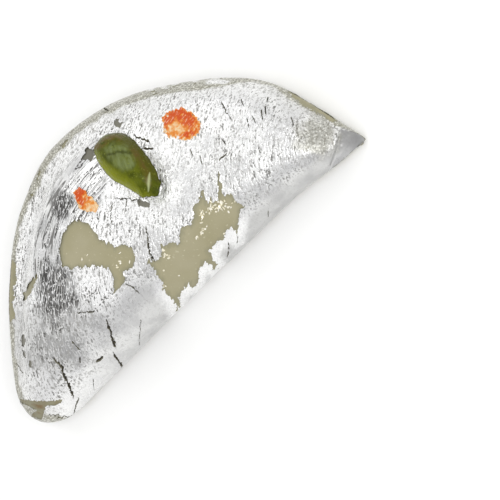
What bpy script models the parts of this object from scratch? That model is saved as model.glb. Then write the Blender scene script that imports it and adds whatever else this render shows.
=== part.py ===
"""Cashew gujiya: a half-moon of soft cashew dough with half a pistachio kernel pressed into its lid.

The gujiya lies on its flat underside. X runs along the fold towards the pointed tip, Y runs from the fold
out to the thin curved rim, and Z is up. The origin is on the surface it lies on, below the middle.
"""

import bmesh
import bpy
import numpy as np
from mathutils import Matrix

MM = 0.001  # every size below is in millimetres

# Plan outline seen from above: from the tip round the rim to the blunt end, then back along the fold.
OUTLINE = (
    (38.9, -17.2),
    (34.8, -5.4),
    (30.0, 2.6),
    (19.8, 10.6),
    (8.6, 16.4),
    (-7.0, 18.6),
    (-19.4, 13.6),
    (-28.4, 5.0),
    (-35.4, -4.8),
    (-38.8, -11.2),
    (-37.7, -15.0),
    (-33.2, -17.9),
    (-24.6, -18.2),
    (-6.4, -17.9),
    (10.6, -17.5),
    (25.0, -17.2),
    (34.0, -17.8),
)
RIM_POINTS = 10           # the first of them lie on the rim, the others on the fold
CURVE_STEPS = 24          # between two points of the outline
TIP_LEAD = 0.3            # how far the outline runs on past the tip, as a share of its first stretch

# Stations along the fold: x, height of the roll, how far from the rim that height is reached,
# and how clearly a pressed land sets the rim off from the belly.
STATIONS = (
    (-38.0, 11.0, 8.0, 0.5),
    (-29.0, 13.6, 13.0, 0.9),
    (-15.0, 16.0, 18.0, 1.0),
    (1.0, 15.8, 16.0, 0.4),
    (15.0, 13.6, 12.0, 0.1),
    (28.0, 11.2, 9.0, 0.0),
    (39.0, 8.8, 7.0, 0.0),
)

RIM_THICKNESS = 8.0       # the two pressed sheets
RIM_EDGE_HEIGHT = 3.2     # height of the widest point of the rim
RIM_ROUNDING = 3.6
FOLD_EDGE_SHARE = 0.34    # of the roll's height
FOLD_ROUNDING_SHARE = 0.42
FOLD_SHOULDER_DROP = 0.22
ROLL_WIDTH = 10.0         # the roll falls away over this distance to the fold's wall
BLEND = (-9.7, -15.7)     # y between which a side turns from rim to fold
UNDER_ROUNDING_SHARE = 0.62

FLANK = (0.25, 0.75)      # where a lid with a land climbs to the belly, as shares of the reach
LAND_SHARE = 0.75         # how much of the climb a full land moves onto the flank
BULGE = 2.2               # exponent of the climb where there is no land
VALLEY_DEPTH = 0.6        # the shallow groove pressed inside the rim
VALLEY_CENTRE = 6.0
VALLEY_HALF_WIDTH = 3.2
VALLEY_FADE = (6.0, 14.0) # distances from the fold between which the groove starts

TIP_SLOPE = (32.0, 40.0)  # x between which the tip is pinched lower
TIP_DROP = 0.58

SPINE_Y = -8.2            # the rings close in on this line
SPINE_ENDS = (-29.0, 28.0)
RIB_LEAN = 0.86
RING_POINTS = 144
ROUNDING_RINGS = 5
LID_RINGS = 11
INNER_RING = 0.94
MERGE = 0.01              # points closer than this are one
SHARP_ANGLE = 40.0        # degrees past which an edge is shaded sharp

KERNEL_LENGTH = 16.2
KERNEL_WIDTH = 7.7
KERNEL_HEIGHT = 4.4
KERNEL_SUNK = 1.7         # depth of the kernel's flat face below the lid
KERNEL_PLACE = (8.5, 1.3)
KERNEL_FOOTING = 2.0      # the kernel lies along the lid's slope over this distance each way
KERNEL_TURN = 106.0       # degrees from X to the kernel's broad end
KERNEL_TAPER = 0.12       # the broad end is wider and the other narrower, as a share of the width
KERNEL_BEND = 0.14        # both ends lean to one side, as a share of the half width
KERNEL_PLAN_FULLNESS = 2.3
KERNEL_CROWN_FULLNESS = 2.1
KERNEL_ROUND = 48
KERNEL_RINGS = 9
KERNEL_TOP_RING = 0.12    # angle of the ring nearest the crown, as a share of a quarter turn
GAP = 0.3                 # between the kernel and the dent that holds it

DOUGH_COLOUR = (0.42, 0.38, 0.28)
DOUGH_ROUGHNESS = 0.6
KERNEL_COLOUR = (0.16, 0.19, 0.04)
KERNEL_ROUGHNESS = 0.35


def smooth(t):
    t = np.clip(t, 0.0, 1.0)
    return t * t * (3.0 - 2.0 * t)


def mix(a, b, t):
    return a + (b - a) * t


def ramp(value, limits):
    """0 at the first limit and 1 at the second, with no kink at either."""
    return smooth((value - limits[0]) / (limits[1] - limits[0]))


def along_stations(x, column):
    """Smooth curve through one column of the stations."""
    table = np.array(STATIONS)
    xs, values = table[:, 0], table[:, column]
    slopes = np.gradient(values, xs)
    x = np.clip(x, xs[0], xs[-1])
    i = np.clip(np.searchsorted(xs, x) - 1, 0, len(xs) - 2)
    span = xs[i + 1] - xs[i]
    t = (x - xs[i]) / span
    start = (2 * t**3 - 3 * t**2 + 1) * values[i] + (t**3 - 2 * t**2 + t) * span * slopes[i]
    end = (3 * t**2 - 2 * t**3) * values[i + 1] + (t**3 - t**2) * span * slopes[i + 1]
    return start + end


def span_curve(p0, p1, p2, p3, steps):
    """Centripetal Catmull-Rom stretch from p1 to p2."""
    t1 = np.linalg.norm(p1 - p0) ** 0.5
    t2 = t1 + np.linalg.norm(p2 - p1) ** 0.5
    t3 = t2 + np.linalg.norm(p3 - p2) ** 0.5
    t = np.linspace(t1, t2, steps, endpoint=False)[:, None]
    a1 = (t1 - t) / t1 * p0 + t / t1 * p1
    a2 = (t2 - t) / (t2 - t1) * p1 + (t - t1) / (t2 - t1) * p2
    a3 = (t3 - t) / (t3 - t2) * p2 + (t - t2) / (t3 - t2) * p3
    b1 = (t2 - t) / t2 * a1 + t / t2 * a2
    b2 = (t3 - t) / (t3 - t1) * a2 + (t - t1) / (t3 - t1) * a3
    return (t2 - t) / (t2 - t1) * b1 + (t - t1) / (t2 - t1) * b2


def evenly(points, count):
    """The closed line through points, as count points spaced evenly along it."""
    loop = np.vstack([points, points[:1]])
    run = np.concatenate([[0.0], np.cumsum(np.linalg.norm(np.diff(loop, axis=0), axis=1))])
    wanted = np.linspace(0.0, run[-1], count, endpoint=False)
    return np.column_stack([np.interp(wanted, run, loop[:, k]) for k in range(2)])


def outline_curve():
    """The whole outline with a corner at the tip, and the part of it that is rim, centred on the origin."""
    points = np.array(OUTLINE + OUTLINE[:1])
    tip = points[0]
    before = tip + (tip - points[1]) * TIP_LEAD
    after = tip + (tip - points[-2]) * TIP_LEAD
    line = np.vstack([before, points, after])
    spans = [span_curve(*line[i - 1 : i + 3], CURVE_STEPS) for i in range(1, len(line) - 2)]
    whole, rim = np.vstack(spans), np.vstack(spans[: RIM_POINTS - 1])
    ring = evenly(whole, RING_POINTS)
    middle = (ring.min(axis=0) + ring.max(axis=0)) / 2
    return whole - middle, rim - middle


WHOLE, RIM = outline_curve()
FOLD = WHOLE[len(RIM) :]


def distance_to(line, x, y):
    """Distance from each point to the nearest point of a dense line."""
    gaps = np.hypot(np.subtract.outer(x, line[:, 0]), np.subtract.outer(y, line[:, 1]))
    return gaps.min(axis=-1)


def lid_height(x, y):
    """Height of the lid above the resting surface, before its edges are rounded."""
    x, y = np.asarray(x, float), np.asarray(y, float)
    from_rim, from_fold = distance_to(RIM, x, y), distance_to(FOLD, x, y)
    roll, reach, land = (along_stations(x, column) for column in (1, 2, 3))
    u = np.clip(from_rim / reach, 0.0, 1.0)
    climb = mix(1.0 - (1.0 - u) ** BULGE, ramp(u, FLANK), LAND_SHARE * land)
    height = RIM_THICKNESS + (roll - RIM_THICKNESS) * climb
    groove = np.clip(1.0 - ((from_rim - VALLEY_CENTRE) / VALLEY_HALF_WIDTH) ** 2, 0.0, 1.0) ** 2
    height -= VALLEY_DEPTH * land * groove * ramp(from_fold, VALLEY_FADE)
    shoulder = 1.0 - FOLD_SHOULDER_DROP * np.clip(1.0 - from_fold / ROLL_WIDTH, 0.0, 1.0) ** 2
    return height * shoulder * (1.0 - TIP_DROP * ramp(x, TIP_SLOPE))


def ring_sizes(edge):
    """For each point of the outline: height of its widest point, radius of its rounding, and its rib."""
    x, y = edge.T
    fold = ramp(y, BLEND)
    roll = along_stations(x, 1) * (1.0 - TIP_DROP * ramp(x, TIP_SLOPE))
    height = mix(RIM_EDGE_HEIGHT, FOLD_EDGE_SHARE * roll, fold)
    rounding = mix(RIM_ROUNDING, FOLD_ROUNDING_SHARE * roll, fold)
    foot = np.column_stack([np.clip(x * RIB_LEAN, *SPINE_ENDS), np.full(len(x), SPINE_Y)])
    return height, rounding, foot - edge


def lid_and_under_rings():
    """Rings of points from the inner ring of the lid over the edge to the flat underside."""
    edge = evenly(WHOLE, RING_POINTS)
    height, rounding, rib = ring_sizes(edge)
    length = np.linalg.norm(rib, axis=1)
    quarter = np.linspace(0.0, np.pi / 2, ROUNDING_RINGS)
    lid, under = [], []
    for angle in quarter:
        share = rounding * (1.0 - np.cos(angle)) / length
        plan = edge + rib * share[:, None]
        top = mix(height, lid_height(*plan.T), np.sin(angle))
        lid.append(np.column_stack([plan, top]))
        plan = edge + rib * (share * UNDER_ROUNDING_SHARE)[:, None]
        under.append(np.column_stack([plan, height * (1.0 - np.sin(angle))]))
    for step in np.linspace(0.0, 1.0, LID_RINGS + 1)[1:]:
        share = mix(rounding / length, INNER_RING, step)
        plan = edge + rib * share[:, None]
        lid.append(np.column_stack([plan, lid_height(*plan.T)]))
    return lid[::-1] + under[1:]


def closed_mesh(name, rings):
    """One closed body from rings of points, capped at both ends, its faces pointing out."""
    bm = bmesh.new()
    rows = [[bm.verts.new(point * MM) for point in ring] for ring in rings]
    for upper, lower in zip(rows, rows[1:]):
        for i in range(len(upper)):
            j = (i + 1) % len(upper)
            bm.faces.new((upper[i], upper[j], lower[j], lower[i]))
    bm.faces.new(rows[0])
    bm.faces.new(rows[-1])
    bmesh.ops.remove_doubles(bm, verts=bm.verts, dist=MERGE * MM)
    bmesh.ops.triangulate(bm, faces=bm.faces)
    bmesh.ops.recalc_face_normals(bm, faces=bm.faces)
    mesh = bpy.data.meshes.new(name)
    bm.to_mesh(mesh)
    bm.free()
    return mesh


def rounded(angles, fullness):
    """Cosine and sine of the angles on a superellipse."""
    cosine, sine = np.cos(angles), np.sin(angles)
    power = 2.0 / fullness
    return np.sign(cosine) * np.abs(cosine) ** power, np.sign(sine) * np.abs(sine) ** power


def kernel_rings(grow=0.0):
    """Half kernel from its crown down to its flat face; grow widens it all round."""
    turns = np.linspace(0.0, 2 * np.pi, KERNEL_ROUND, endpoint=False)
    along, across = rounded(turns, KERNEL_PLAN_FULLNESS)
    across = across * (1.0 + KERNEL_TAPER * along) + KERNEL_BEND * along**2
    half_length, half_width = KERNEL_LENGTH / 2 + grow, KERNEL_WIDTH / 2 + grow
    rings = []
    for tilt in np.linspace(KERNEL_TOP_RING, 1.0, KERNEL_RINGS) * np.pi / 2:
        up, out = rounded(tilt, KERNEL_CROWN_FULLNESS)
        height = np.full(KERNEL_ROUND, (KERNEL_HEIGHT + grow) * up)
        rings.append(np.column_stack([along * half_length * out, across * half_width * out, height]))
    floor = rings[-1] * (1.0, 1.0, 0.0) - (0.0, 0.0, grow)
    return rings + [floor] if grow else rings


def kernel_place():
    """Where the kernel lies: its flat face sunk below the lid and parallel to it."""
    x, y = KERNEL_PLACE
    step = KERNEL_FOOTING
    slope_x = (lid_height([x + step], [y])[0] - lid_height([x - step], [y])[0]) / (2 * step)
    slope_y = (lid_height([x], [y + step])[0] - lid_height([x], [y - step])[0]) / (2 * step)
    up = np.array([-slope_x, -slope_y, 1.0])
    up /= np.linalg.norm(up)
    turn = np.radians(KERNEL_TURN)
    along = np.array([np.cos(turn), np.sin(turn), 0.0])
    along -= up * along.dot(up)
    along /= np.linalg.norm(along)
    centre = np.array([x, y, lid_height([x], [y])[0]]) - up * KERNEL_SUNK
    place = Matrix.Identity(4)
    for k, axis in enumerate((along, np.cross(up, along), up, centre * MM)):
        place.col[k][:3] = axis
    return place


def material(name, colour, roughness):
    made = bpy.data.materials.new(name)
    made.use_nodes = True
    shader = made.node_tree.nodes["Principled BSDF"]
    shader.inputs["Base Color"].default_value = (*colour, 1.0)
    shader.inputs["Roughness"].default_value = roughness
    shader.inputs["Metallic"].default_value = 0.0
    made.diffuse_color = (*colour, 1.0)
    return made


def add_object(name, mesh, finish=None, place=None):
    made = bpy.data.objects.new(name, mesh)
    bpy.context.scene.collection.objects.link(made)
    if place is not None:
        made.matrix_world = place
    if finish is not None:
        mesh.materials.append(finish)
        mesh.shade_smooth()
    return made


def make_gujiya(place):
    """The folded dough, with a dent that follows the kernel."""
    dough = add_object("gujiya", closed_mesh("gujiya", lid_and_under_rings()),
                       material("cashew_dough", DOUGH_COLOUR, DOUGH_ROUGHNESS))
    cutter = add_object("kernel_dent", closed_mesh("kernel_dent", kernel_rings(GAP)), place=place)
    cutter.hide_render = True
    cutter.display_type = "WIRE"
    dent = dough.modifiers.new("dent", "BOOLEAN")
    dent.operation = "DIFFERENCE"
    dent.object = cutter
    dough.data.set_sharp_from_angle(angle=np.radians(SHARP_ANGLE))
    return dough


def make_pistachio(place):
    kernel = add_object("pistachio", closed_mesh("pistachio", kernel_rings()),
                        material("pistachio_kernel", KERNEL_COLOUR, KERNEL_ROUGHNESS), place)
    kernel.data.set_sharp_from_angle(angle=np.radians(SHARP_ANGLE))
    return kernel


def main():
    for leftover in list(bpy.data.objects):
        bpy.data.objects.remove(leftover)
    place = kernel_place()
    make_gujiya(place)
    make_pistachio(place)


main()
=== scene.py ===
"""Looks of the cashew gujiya, laid out as an add-on: soft cashew dough under a torn skin of beaten silver
leaf, half a pistachio kernel pressed into the lid, and two dabs of saffron. Run as a script, it makes every
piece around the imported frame, and the stage. Lengths are in millimetres unless a property says otherwise."""

import math

import bmesh
import bpy
import numpy as np
from bpy.props import FloatProperty, FloatVectorProperty, IntProperty, PointerProperty
from mathutils import Matrix, Vector, noise
from mathutils.bvhtree import BVHTree
from mathutils.kdtree import KDTree


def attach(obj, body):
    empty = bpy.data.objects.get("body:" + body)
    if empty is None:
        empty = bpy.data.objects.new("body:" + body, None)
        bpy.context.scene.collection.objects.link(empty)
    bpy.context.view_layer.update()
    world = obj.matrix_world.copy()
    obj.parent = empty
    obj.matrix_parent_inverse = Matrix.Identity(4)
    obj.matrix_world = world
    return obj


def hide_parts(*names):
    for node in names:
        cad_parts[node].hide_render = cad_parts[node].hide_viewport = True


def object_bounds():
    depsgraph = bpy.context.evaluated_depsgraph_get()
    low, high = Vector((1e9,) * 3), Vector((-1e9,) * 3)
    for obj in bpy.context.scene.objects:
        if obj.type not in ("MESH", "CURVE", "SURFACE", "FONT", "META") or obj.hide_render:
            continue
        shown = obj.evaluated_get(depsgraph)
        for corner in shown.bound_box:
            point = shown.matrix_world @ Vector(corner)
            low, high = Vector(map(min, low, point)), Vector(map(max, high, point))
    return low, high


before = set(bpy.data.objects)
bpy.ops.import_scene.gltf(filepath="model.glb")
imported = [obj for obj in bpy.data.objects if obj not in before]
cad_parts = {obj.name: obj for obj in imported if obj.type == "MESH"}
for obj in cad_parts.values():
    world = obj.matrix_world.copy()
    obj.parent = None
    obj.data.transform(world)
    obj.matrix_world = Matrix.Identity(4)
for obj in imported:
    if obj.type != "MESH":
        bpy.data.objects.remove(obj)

bl_info = {
    "name": "Cashew Gujiya",
    "version": (1, 0, 0),
    "blender": (4, 5, 0),
    "location": "3D View > Sidebar > Gujiya",
    "description": "Makes a silver-leafed cashew gujiya with its pistachio kernel, saffron dabs and stage",
    "category": "Add Mesh",
}

MM = 0.001
CAD_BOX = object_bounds()

# The camera of the photograph: a true pinhole that looks down past the sharp end of the gujiya.
FRAME_PX = 500
SENSOR = 36.0
FOCAL_PX = 3100.0
CAMERA_DISTANCE = 500.0
CAMERA_TILT = 33.0         # degrees from straight down
CAMERA_TURN = 38.43        # degrees from X, clockwise from above, to the side that the camera leans to
CAMERA_AIM = (0.0, 0.0, 6.0)
CAMERA_ASIDE = 19.09       # along the picture's right
CAMERA_ALONG = -6.75       # along the picture's up
PX_PER_MM = FOCAL_PX / CAMERA_DISTANCE
SKY_AXIS = (-0.10, 0.65, 0.75)     # where the tent is brightest

# The two soft lights: how far off they are and how wide, in metres.
KEY_DISTANCE, KEY_SIZE = 0.7, 0.52
FILL_DISTANCE, FILL_SIZE = 0.8, 0.5

# Sizes of the films and the fine surface.
FOLD_LIFT = 0.03           # how high each sheet of leaf stands off the dough
RIM_LIFT = 0.035
LID_LIFT = 0.045
SHEET_OVERLAP = 0.3        # how far two sheets of leaf lap over each other
KERNEL_LAP_LIFT = 0.05     # how high the leaf's edge stands off the kernel that it laps over
SAFFRON_LIFT = 0.13        # how high the saffron stands off the dough, over the leaf
SAFFRON_THICKNESS = 0.12
CLEFT_DEPTH = 0.3          # how deep the dough is open under a crack
KERNEL_SPACING = 0.16      # size of the kernel's faces
SCRAP_AREA = 0.05          # a loose scrap of film with less area than this is left out
LIP_RING = (1.3, 2.1)      # the dough this far from the kernel gives the level for the dough nearer to it
KERNEL_CLEARANCE = 0.03    # the least gap between the dough and the kernel that is pressed into it
FLOOR_GAP = 0.01           # how far the floor lies below the gujiya, so that the two don't flicker

# Numbers of the method.
SHARP_EDGE = 60.0          # degrees between two faces of a film, past which their edge shows sharp
SLIVER = 0.012             # a point nearer to a torn line than this counts as that far inside it
TOUCHING = 0.005           # a point nearer to the kernel than this counts as on it
FAR = 50.0                 # stands for the distance to something that isn't near
EDGE_ON = 0.02             # a surface that looks back to the camera less than this bears no traced mark
SEED_STEP = 17.31          # how far apart two seeds lie in the noise
TRACE_STEP = 12.0          # pixels between two places where the rim's height is taken
TRACE_SPREAD = 0.045       # radians either side of a way from the kernel's middle, where its reach is taken
CRUMB_SPREAD = 5.0         # pixels that a heap of crumbs reaches for each millimetre of its radius

# Bare places in the leaf: how ragged the tear is, and its outline, both in pixels of the photograph.
BARE_PLACES = {
    "lid": (1.2, (
        (68, 226), (76, 220), (86, 222), (94, 229), (102, 240), (115, 247), (127, 245), (135, 251),
        (136, 260), (132, 267), (123, 272), (126, 282), (113, 295), (114, 279), (108, 269), (94, 266),
        (76, 268), (62, 267), (60, 248), (63, 234))),
    "fold": (1.9, (
        (201, 192), (203, 190), (205, 193), (205, 200), (208, 202), (211, 200), (218, 198), (218, 189),
        (217, 182), (219, 171), (220, 172), (220, 181), (222, 187), (223, 194), (227, 196), (229, 193),
        (233, 197), (237, 201), (240, 206), (245, 205), (243, 209), (240, 211), (239, 224), (237, 239),
        (235, 230), (229, 228), (226, 231), (224, 238), (215, 245), (208, 252), (212, 256), (218, 266),
        (214, 270), (207, 261), (202, 267), (199, 273), (197, 284), (195, 288), (190, 285), (186, 286),
        (179, 297), (180, 305), (176, 312), (175, 303), (173, 299), (166, 293), (162, 288), (161, 281),
        (157, 273), (152, 267), (147, 261), (149, 258), (152, 262), (158, 260), (162, 254), (160, 243),
        (166, 245), (175, 240), (180, 244), (179, 236), (182, 228), (185, 225), (191, 225), (194, 215),
        (192, 209), (196, 204), (200, 200))),
    "left_rim": (1.6, (
        (4, 258), (10, 258), (17, 262), (17, 271), (16, 283), (14, 287), (16, 295), (13, 302), (14, 312),
        (15, 320), (10, 322), (5, 300))),
    "diagonal": (1.6, (
        (24, 301), (23, 294), (28, 288), (32, 280), (36, 274), (39, 276), (34, 285), (31, 294), (28, 300))),
    "blunt_end": (0.8, (
        (18, 398), (24, 400), (33, 400), (40, 401), (48, 401), (56, 400), (62, 398), (60, 403), (56, 404),
        (50, 405), (46, 407), (44, 411), (42, 419), (31, 417), (33, 413), (37, 411), (33, 408), (26, 405),
        (21, 402))),
    "end_slot": (1.0, ((22, 336), (25, 334), (26, 341), (24, 348), (21, 344))),
    "end_notch": (1.0, ((23, 350), (26, 352), (27, 357), (24, 357))),
    "end_pit": (1.0, ((29, 361), (32, 361), (32, 366), (30, 367))),
    "sharp_rim": (1.2, (
        (284, 82), (288, 92), (292, 97), (300, 103), (308, 108), (318, 114), (328, 121), (334, 124),
        (338, 121), (318, 98), (300, 86))),
    "kernel_top": (1.2, ((113, 121), (117, 118), (119, 122), (124, 123), (120, 127), (115, 126))),
    "kernel_left": (1.4, ((80, 161), (85, 153), (91, 147), (95, 152), (94, 160), (86, 161))),
    "kernel_foot": (1.2, ((136, 203), (141, 199), (151, 203), (149, 207), (140, 207))),
}

# The small bare places that get painted shade.
SHADED_SMALL_PLACES = ("kernel_top", "kernel_left", "kernel_foot", "end_slot", "end_notch", "end_pit")

# Heaps of crumbs of leaf in the bare places: middle in pixels of the photograph, and radius in millimetres.
CRUMBS = (
    (201, 215, 0.30), (204, 213, 0.26), (202, 219, 0.22), (200, 224, 0.26), (203, 228, 0.24),
    (202, 233, 0.26), (198, 236, 0.20), (196, 239, 0.16), (209, 204, 0.30), (212, 208, 0.34),
    (215, 205, 0.24), (217, 210, 0.30), (220, 204, 0.36), (223, 208, 0.28), (225, 203, 0.26),
    (229, 206, 0.22), (212, 200, 0.24), (233, 203, 0.20), (162, 251, 0.30), (165, 256, 0.34),
    (168, 259, 0.30), (160, 257, 0.26), (164, 287, 0.28), (119, 264, 0.30), (120, 260, 0.18),
    (184, 289, 0.20))

# Loose flecks lie only here, on the two large bare places.
FLECKED_PLACE = ((60, 215), (145, 215), (190, 185), (250, 190), (250, 250), (180, 312), (110, 300), (60, 270))

# Cracks in the leaf: width in millimetres, and line in pixels of the photograph.
CRACKS = {
    "fold_long": (0.40, ((106, 319), (110, 329), (113, 340), (115, 349))),
    "fold_foot": (0.38, ((113, 352), (117, 359), (122, 366), (125, 369))),
    "end_long": (0.34, ((54, 358), (57, 364), (62, 366), (63, 373), (69, 385), (74, 399))),
    "end_foot": (0.24, ((79, 397), (76, 405), (74, 414))),
    "end_under": (0.22, ((47, 413), (56, 416), (66, 417), (77, 414))),
    "end_fine": (0.12, ((93, 377), (93, 384), (95, 391))),
    "slit": (0.42, ((96, 362), (100, 359), (103, 356))),
    "slit_by": (0.22, ((80, 357), (80, 363))),
    "belly_fine": (0.20, ((71, 340), (76, 345), (80, 350))),
    "belly_level": (0.20, ((77, 313), (84, 312), (97, 311))),
    "from_lid_patch": (0.22, ((125, 284), (132, 286), (136, 290), (140, 293))),
    "by_fold": (0.12, ((141, 319), (140, 332), (139, 346))),
    "between_patches": (0.24, ((146, 226), (148, 240), (150, 252), (154, 262))),
    "kernel_foot_level": (0.22, ((114, 199), (126, 199), (136, 199), (140, 203))),
    "kernel_foot_down": (0.20, ((127, 200), (126, 208))),
    "kernel_foot_left": (0.16, ((112, 202), (111, 214), (111, 226))),
    "kernel_right_a": (0.34, ((133, 135), (139, 138), (145, 140), (151, 143))),
    "kernel_right_b": (0.34, ((143, 148), (148, 149), (154, 149))),
    "lid_a": (0.20, ((221, 101), (225, 108), (232, 120))),
    "lid_b": (0.20, ((222, 139), (226, 145))),
    "lid_c": (0.28, ((219, 160), (223, 157), (227, 153))),
    "lid_d": (0.18, ((200, 155), (201, 161), (203, 166))),
    "lid_e": (0.16, ((190, 149), (193, 156))),
    "lid_f": (0.16, ((247, 117), (249, 128))),
    "lid_g": (0.20, ((268, 97), (267, 103))),
    "lid_l": (0.24, ((265, 106), (266, 115))),
    "lobe": (0.14, ((228, 240), (229, 250), (227, 258))),
    "lid_h": (0.22, ((261, 109), (263, 121))),
    "lid_i": (0.18, ((252, 115), (256, 124))),
    "lid_j": (0.18, ((291, 117), (294, 126))),
    "lid_k": (0.16, ((241, 99), (244, 107))),
    "rim_break": (0.26, ((101, 104), (105, 109), (109, 111))),
    "end_hair": (0.14, ((16, 362), (20, 368), (24, 374))),
    "fold_shoulder_a": (0.14, ((268, 210), (268, 217))),
    "right_of_patch": (0.14, ((238, 236), (237, 244))),
}

# What shows of the kernel, the marks on its skin, and where its painted sheen and painted glint lie, in pixels
# of the photograph.
KERNEL_SHOWN = (
    (93, 146), (95, 142), (103, 135), (114, 132), (125, 134), (135, 140), (144, 148), (153, 159),
    (160, 171), (163, 182), (165, 187), (162, 192), (159, 198), (154, 196), (149, 199), (144, 201),
    (140, 195), (131, 190), (122, 185), (114, 181), (106, 174), (100, 165), (96, 158), (94, 150))
KERNEL_CREASE = ((107, 154), (116, 151), (124, 152), (131, 153))
KERNEL_STREAK = ((134, 150), (141, 161), (147, 173), (149, 183))
KERNEL_RIDGE = ((150, 172), (149, 182), (148, 192))
KERNEL_SHEEN = ((104, 148), (114, 143), (127, 146), (134, 158), (133, 170), (122, 172), (110, 163))
KERNEL_SKIN = ((92, 150), (96, 140), (106, 134), (124, 134), (120, 140), (108, 142), (99, 149))

# The end of the kernel's foot that the leaf laps furthest over.
KERNEL_FOOT = ((147, 201), (155, 199), (161, 197), (165, 187))

# The saffron dabs, outlined in pixels of the photograph.
LARGE_DAB = (
    (163, 118), (167, 113), (173, 110), (182, 109), (191, 112), (197, 117), (200, 124), (199, 133),
    (194, 139), (186, 140), (177, 138), (169, 137), (164, 131))
SMALL_DAB = (
    (74, 193), (80, 187), (86, 191), (89, 196), (95, 199), (99, 205), (96, 212), (88, 212), (80, 209),
    (77, 201))
LARGE_DAB_PALE = (177, 128)
SMALL_DAB_PALE = (93, 206)

# How wide the leaf is rubbed along the curved rim, in pixels, for places across the photograph.
RIM_WEAR = (
    (5, 3.5), (20, 4.0), (28, 5.0), (40, 8.0), (100, 6.5), (150, 8.5), (215, 9.5), (235, 6.0), (250, 3.0),
    (275, 3.0), (290, 7.0), (335, 6.0), (350, 1.0))

# Where the lid's leaf ends and the leaf of the fold begins: x and y on the dough.
LEAF_SEAM = (
    (-40.0, -21.0), (-33.0, -19.5), (-27.0, -16.6), (-15.6, -13.8), (-9.4, -13.8), (-4.0, -14.0),
    (0.6, -15.0), (16.8, -15.9), (31.0, -16.8), (40.0, -17.4))

# The lid left of the kernel is drawn into long creases that run along the rim, round one middle.
CREASED_PLACE = (
    (96, 140), (110, 182), (92, 216), (62, 262), (50, 286), (30, 280), (34, 235), (52, 185), (72, 160))
RIM_MIDDLE = (190, 270)
RIM_RADIUS = 22.0          # from that middle, where lengths along the rim are true

# Where the leaf lies calm and bright, right of the kernel.
CALM_PLACE = ((150, 140), (200, 140), (212, 170), (196, 200), (170, 208), (165, 175))

# Oval spots on the leaf: middle and half size in pixels, and strength. The first get painted shade and a
# rougher finish, the next is rubbed down to the paste's grease, and the last are still whole on the rubbed
# rim.
DULL_SHADE_PLACES = (
    ((57, 294), (20, 36), 1.0), ((63, 204), (12, 15), 0.95), ((56, 348), (30, 22), 0.5),
    ((82, 318), (24, 14), 0.3), ((320, 138), (17, 17), 0.4), ((258, 205), (22, 14), 0.12),
    ((306, 152), (16, 7), 0.2), ((50, 236), (9, 24), 0.35), ((80, 178), (10, 20), 0.2))
RUBBED_PLACES = (((317, 137), (22, 20), 0.6),)
WHOLE_PLACES = (
    ((150, 89), (5, 2), 0.8), ((163, 87), (5, 2), 0.8), ((175, 84), (4, 2), 0.8), ((196, 81), (4, 2), 0.8),
    ((218, 82), (11, 3), 1.0))

# The smooth facet that the sharp end was pinched to, and the corners that its plane goes through.
SHARP_FACET = ((340, 129), (336, 150), (328, 172), (336, 178), (372, 142), (358, 130), (344, 124))
FACET_CORNERS = ((341, 131), (330, 170), (369, 142))


# ---------------------------------------------------------------- numbers

def smooth(t):
    """Eased from 0 to 1 while t goes from 0 to 1."""
    t = np.clip(t, 0.0, 1.0)
    return t * t * (3.0 - 2.0 * t)


def ramp(value, low, high):
    """0 at low and 1 at high, with no kink at either."""
    return smooth((value - low) / (high - low))


def linear(colour):
    """An sRGB hex value as linear red, green, blue and alpha."""
    parts = [int(colour[k : k + 2], 16) / 255 for k in (1, 3, 5)]
    return [c / 12.92 if c <= 0.04045 else ((c + 0.055) / 1.055) ** 2.4 for c in parts] + [1.0]


def noise_of(points, size, seed=0):
    """Smooth noise between about -1 and 1 whose lumps have that size; size may differ along X, Y and Z."""
    places = points / np.asarray(size, float) + seed * SEED_STEP
    return np.array([noise.noise(place) for place in places.tolist()])


def camera_axes():
    """The picture's right, its up and the way back to the camera."""
    tilt, turn = math.radians(CAMERA_TILT), math.radians(CAMERA_TURN)
    lean = Vector((math.cos(turn), -math.sin(turn), 0.0))
    upright = Vector((0.0, 0.0, 1.0))
    back = math.sin(tilt) * lean + math.cos(tilt) * upright
    right = math.cos(tilt) * lean - math.sin(tilt) * upright
    return right, back.cross(right), back


def camera_place():
    """Where the camera stands, in millimetres."""
    right, up, back = camera_axes()
    return Vector(CAMERA_AIM) + CAMERA_DISTANCE * back + CAMERA_ASIDE * right + CAMERA_ALONG * up


def pixels_of(points):
    """Where points show in the photograph."""
    right, up, back = (np.array(axis) for axis in camera_axes())
    away = points - np.array(camera_place())
    scale = FOCAL_PX / -(away @ back)
    half = FRAME_PX / 2
    return np.column_stack([half + (away @ right) * scale, half - (away @ up) * scale])


def toward_camera(normals):
    """How squarely a surface looks back to the camera: 1 straight at it, 0 edge-on, below 0 turned away."""
    return normals @ np.array(camera_axes()[2])


def line_distance(px, line):
    """Distance from each pixel to a line of points, and how far along the line the nearest place is."""
    line = np.array(line, float)
    lengths = np.linalg.norm(np.diff(line, axis=0), axis=1)
    start = np.concatenate([[0.0], np.cumsum(lengths)])
    best, share = np.full(len(px), np.inf), np.zeros(len(px))
    for k, (a, b) in enumerate(zip(line, line[1:])):
        t = np.clip((px - a) @ (b - a) / lengths[k] ** 2, 0.0, 1.0)
        gap = np.linalg.norm(px - a - t[:, None] * (b - a), axis=1)
        closer = gap < best
        best[closer] = gap[closer]
        share[closer] = ((start[k] + t * lengths[k]) / start[-1])[closer]
    return best, share


def near_line(px, line, width):
    """1 on a line of the photograph, fading to 0 that many pixels away."""
    return np.exp(-((line_distance(px, line)[0] / width) ** 2))


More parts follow.
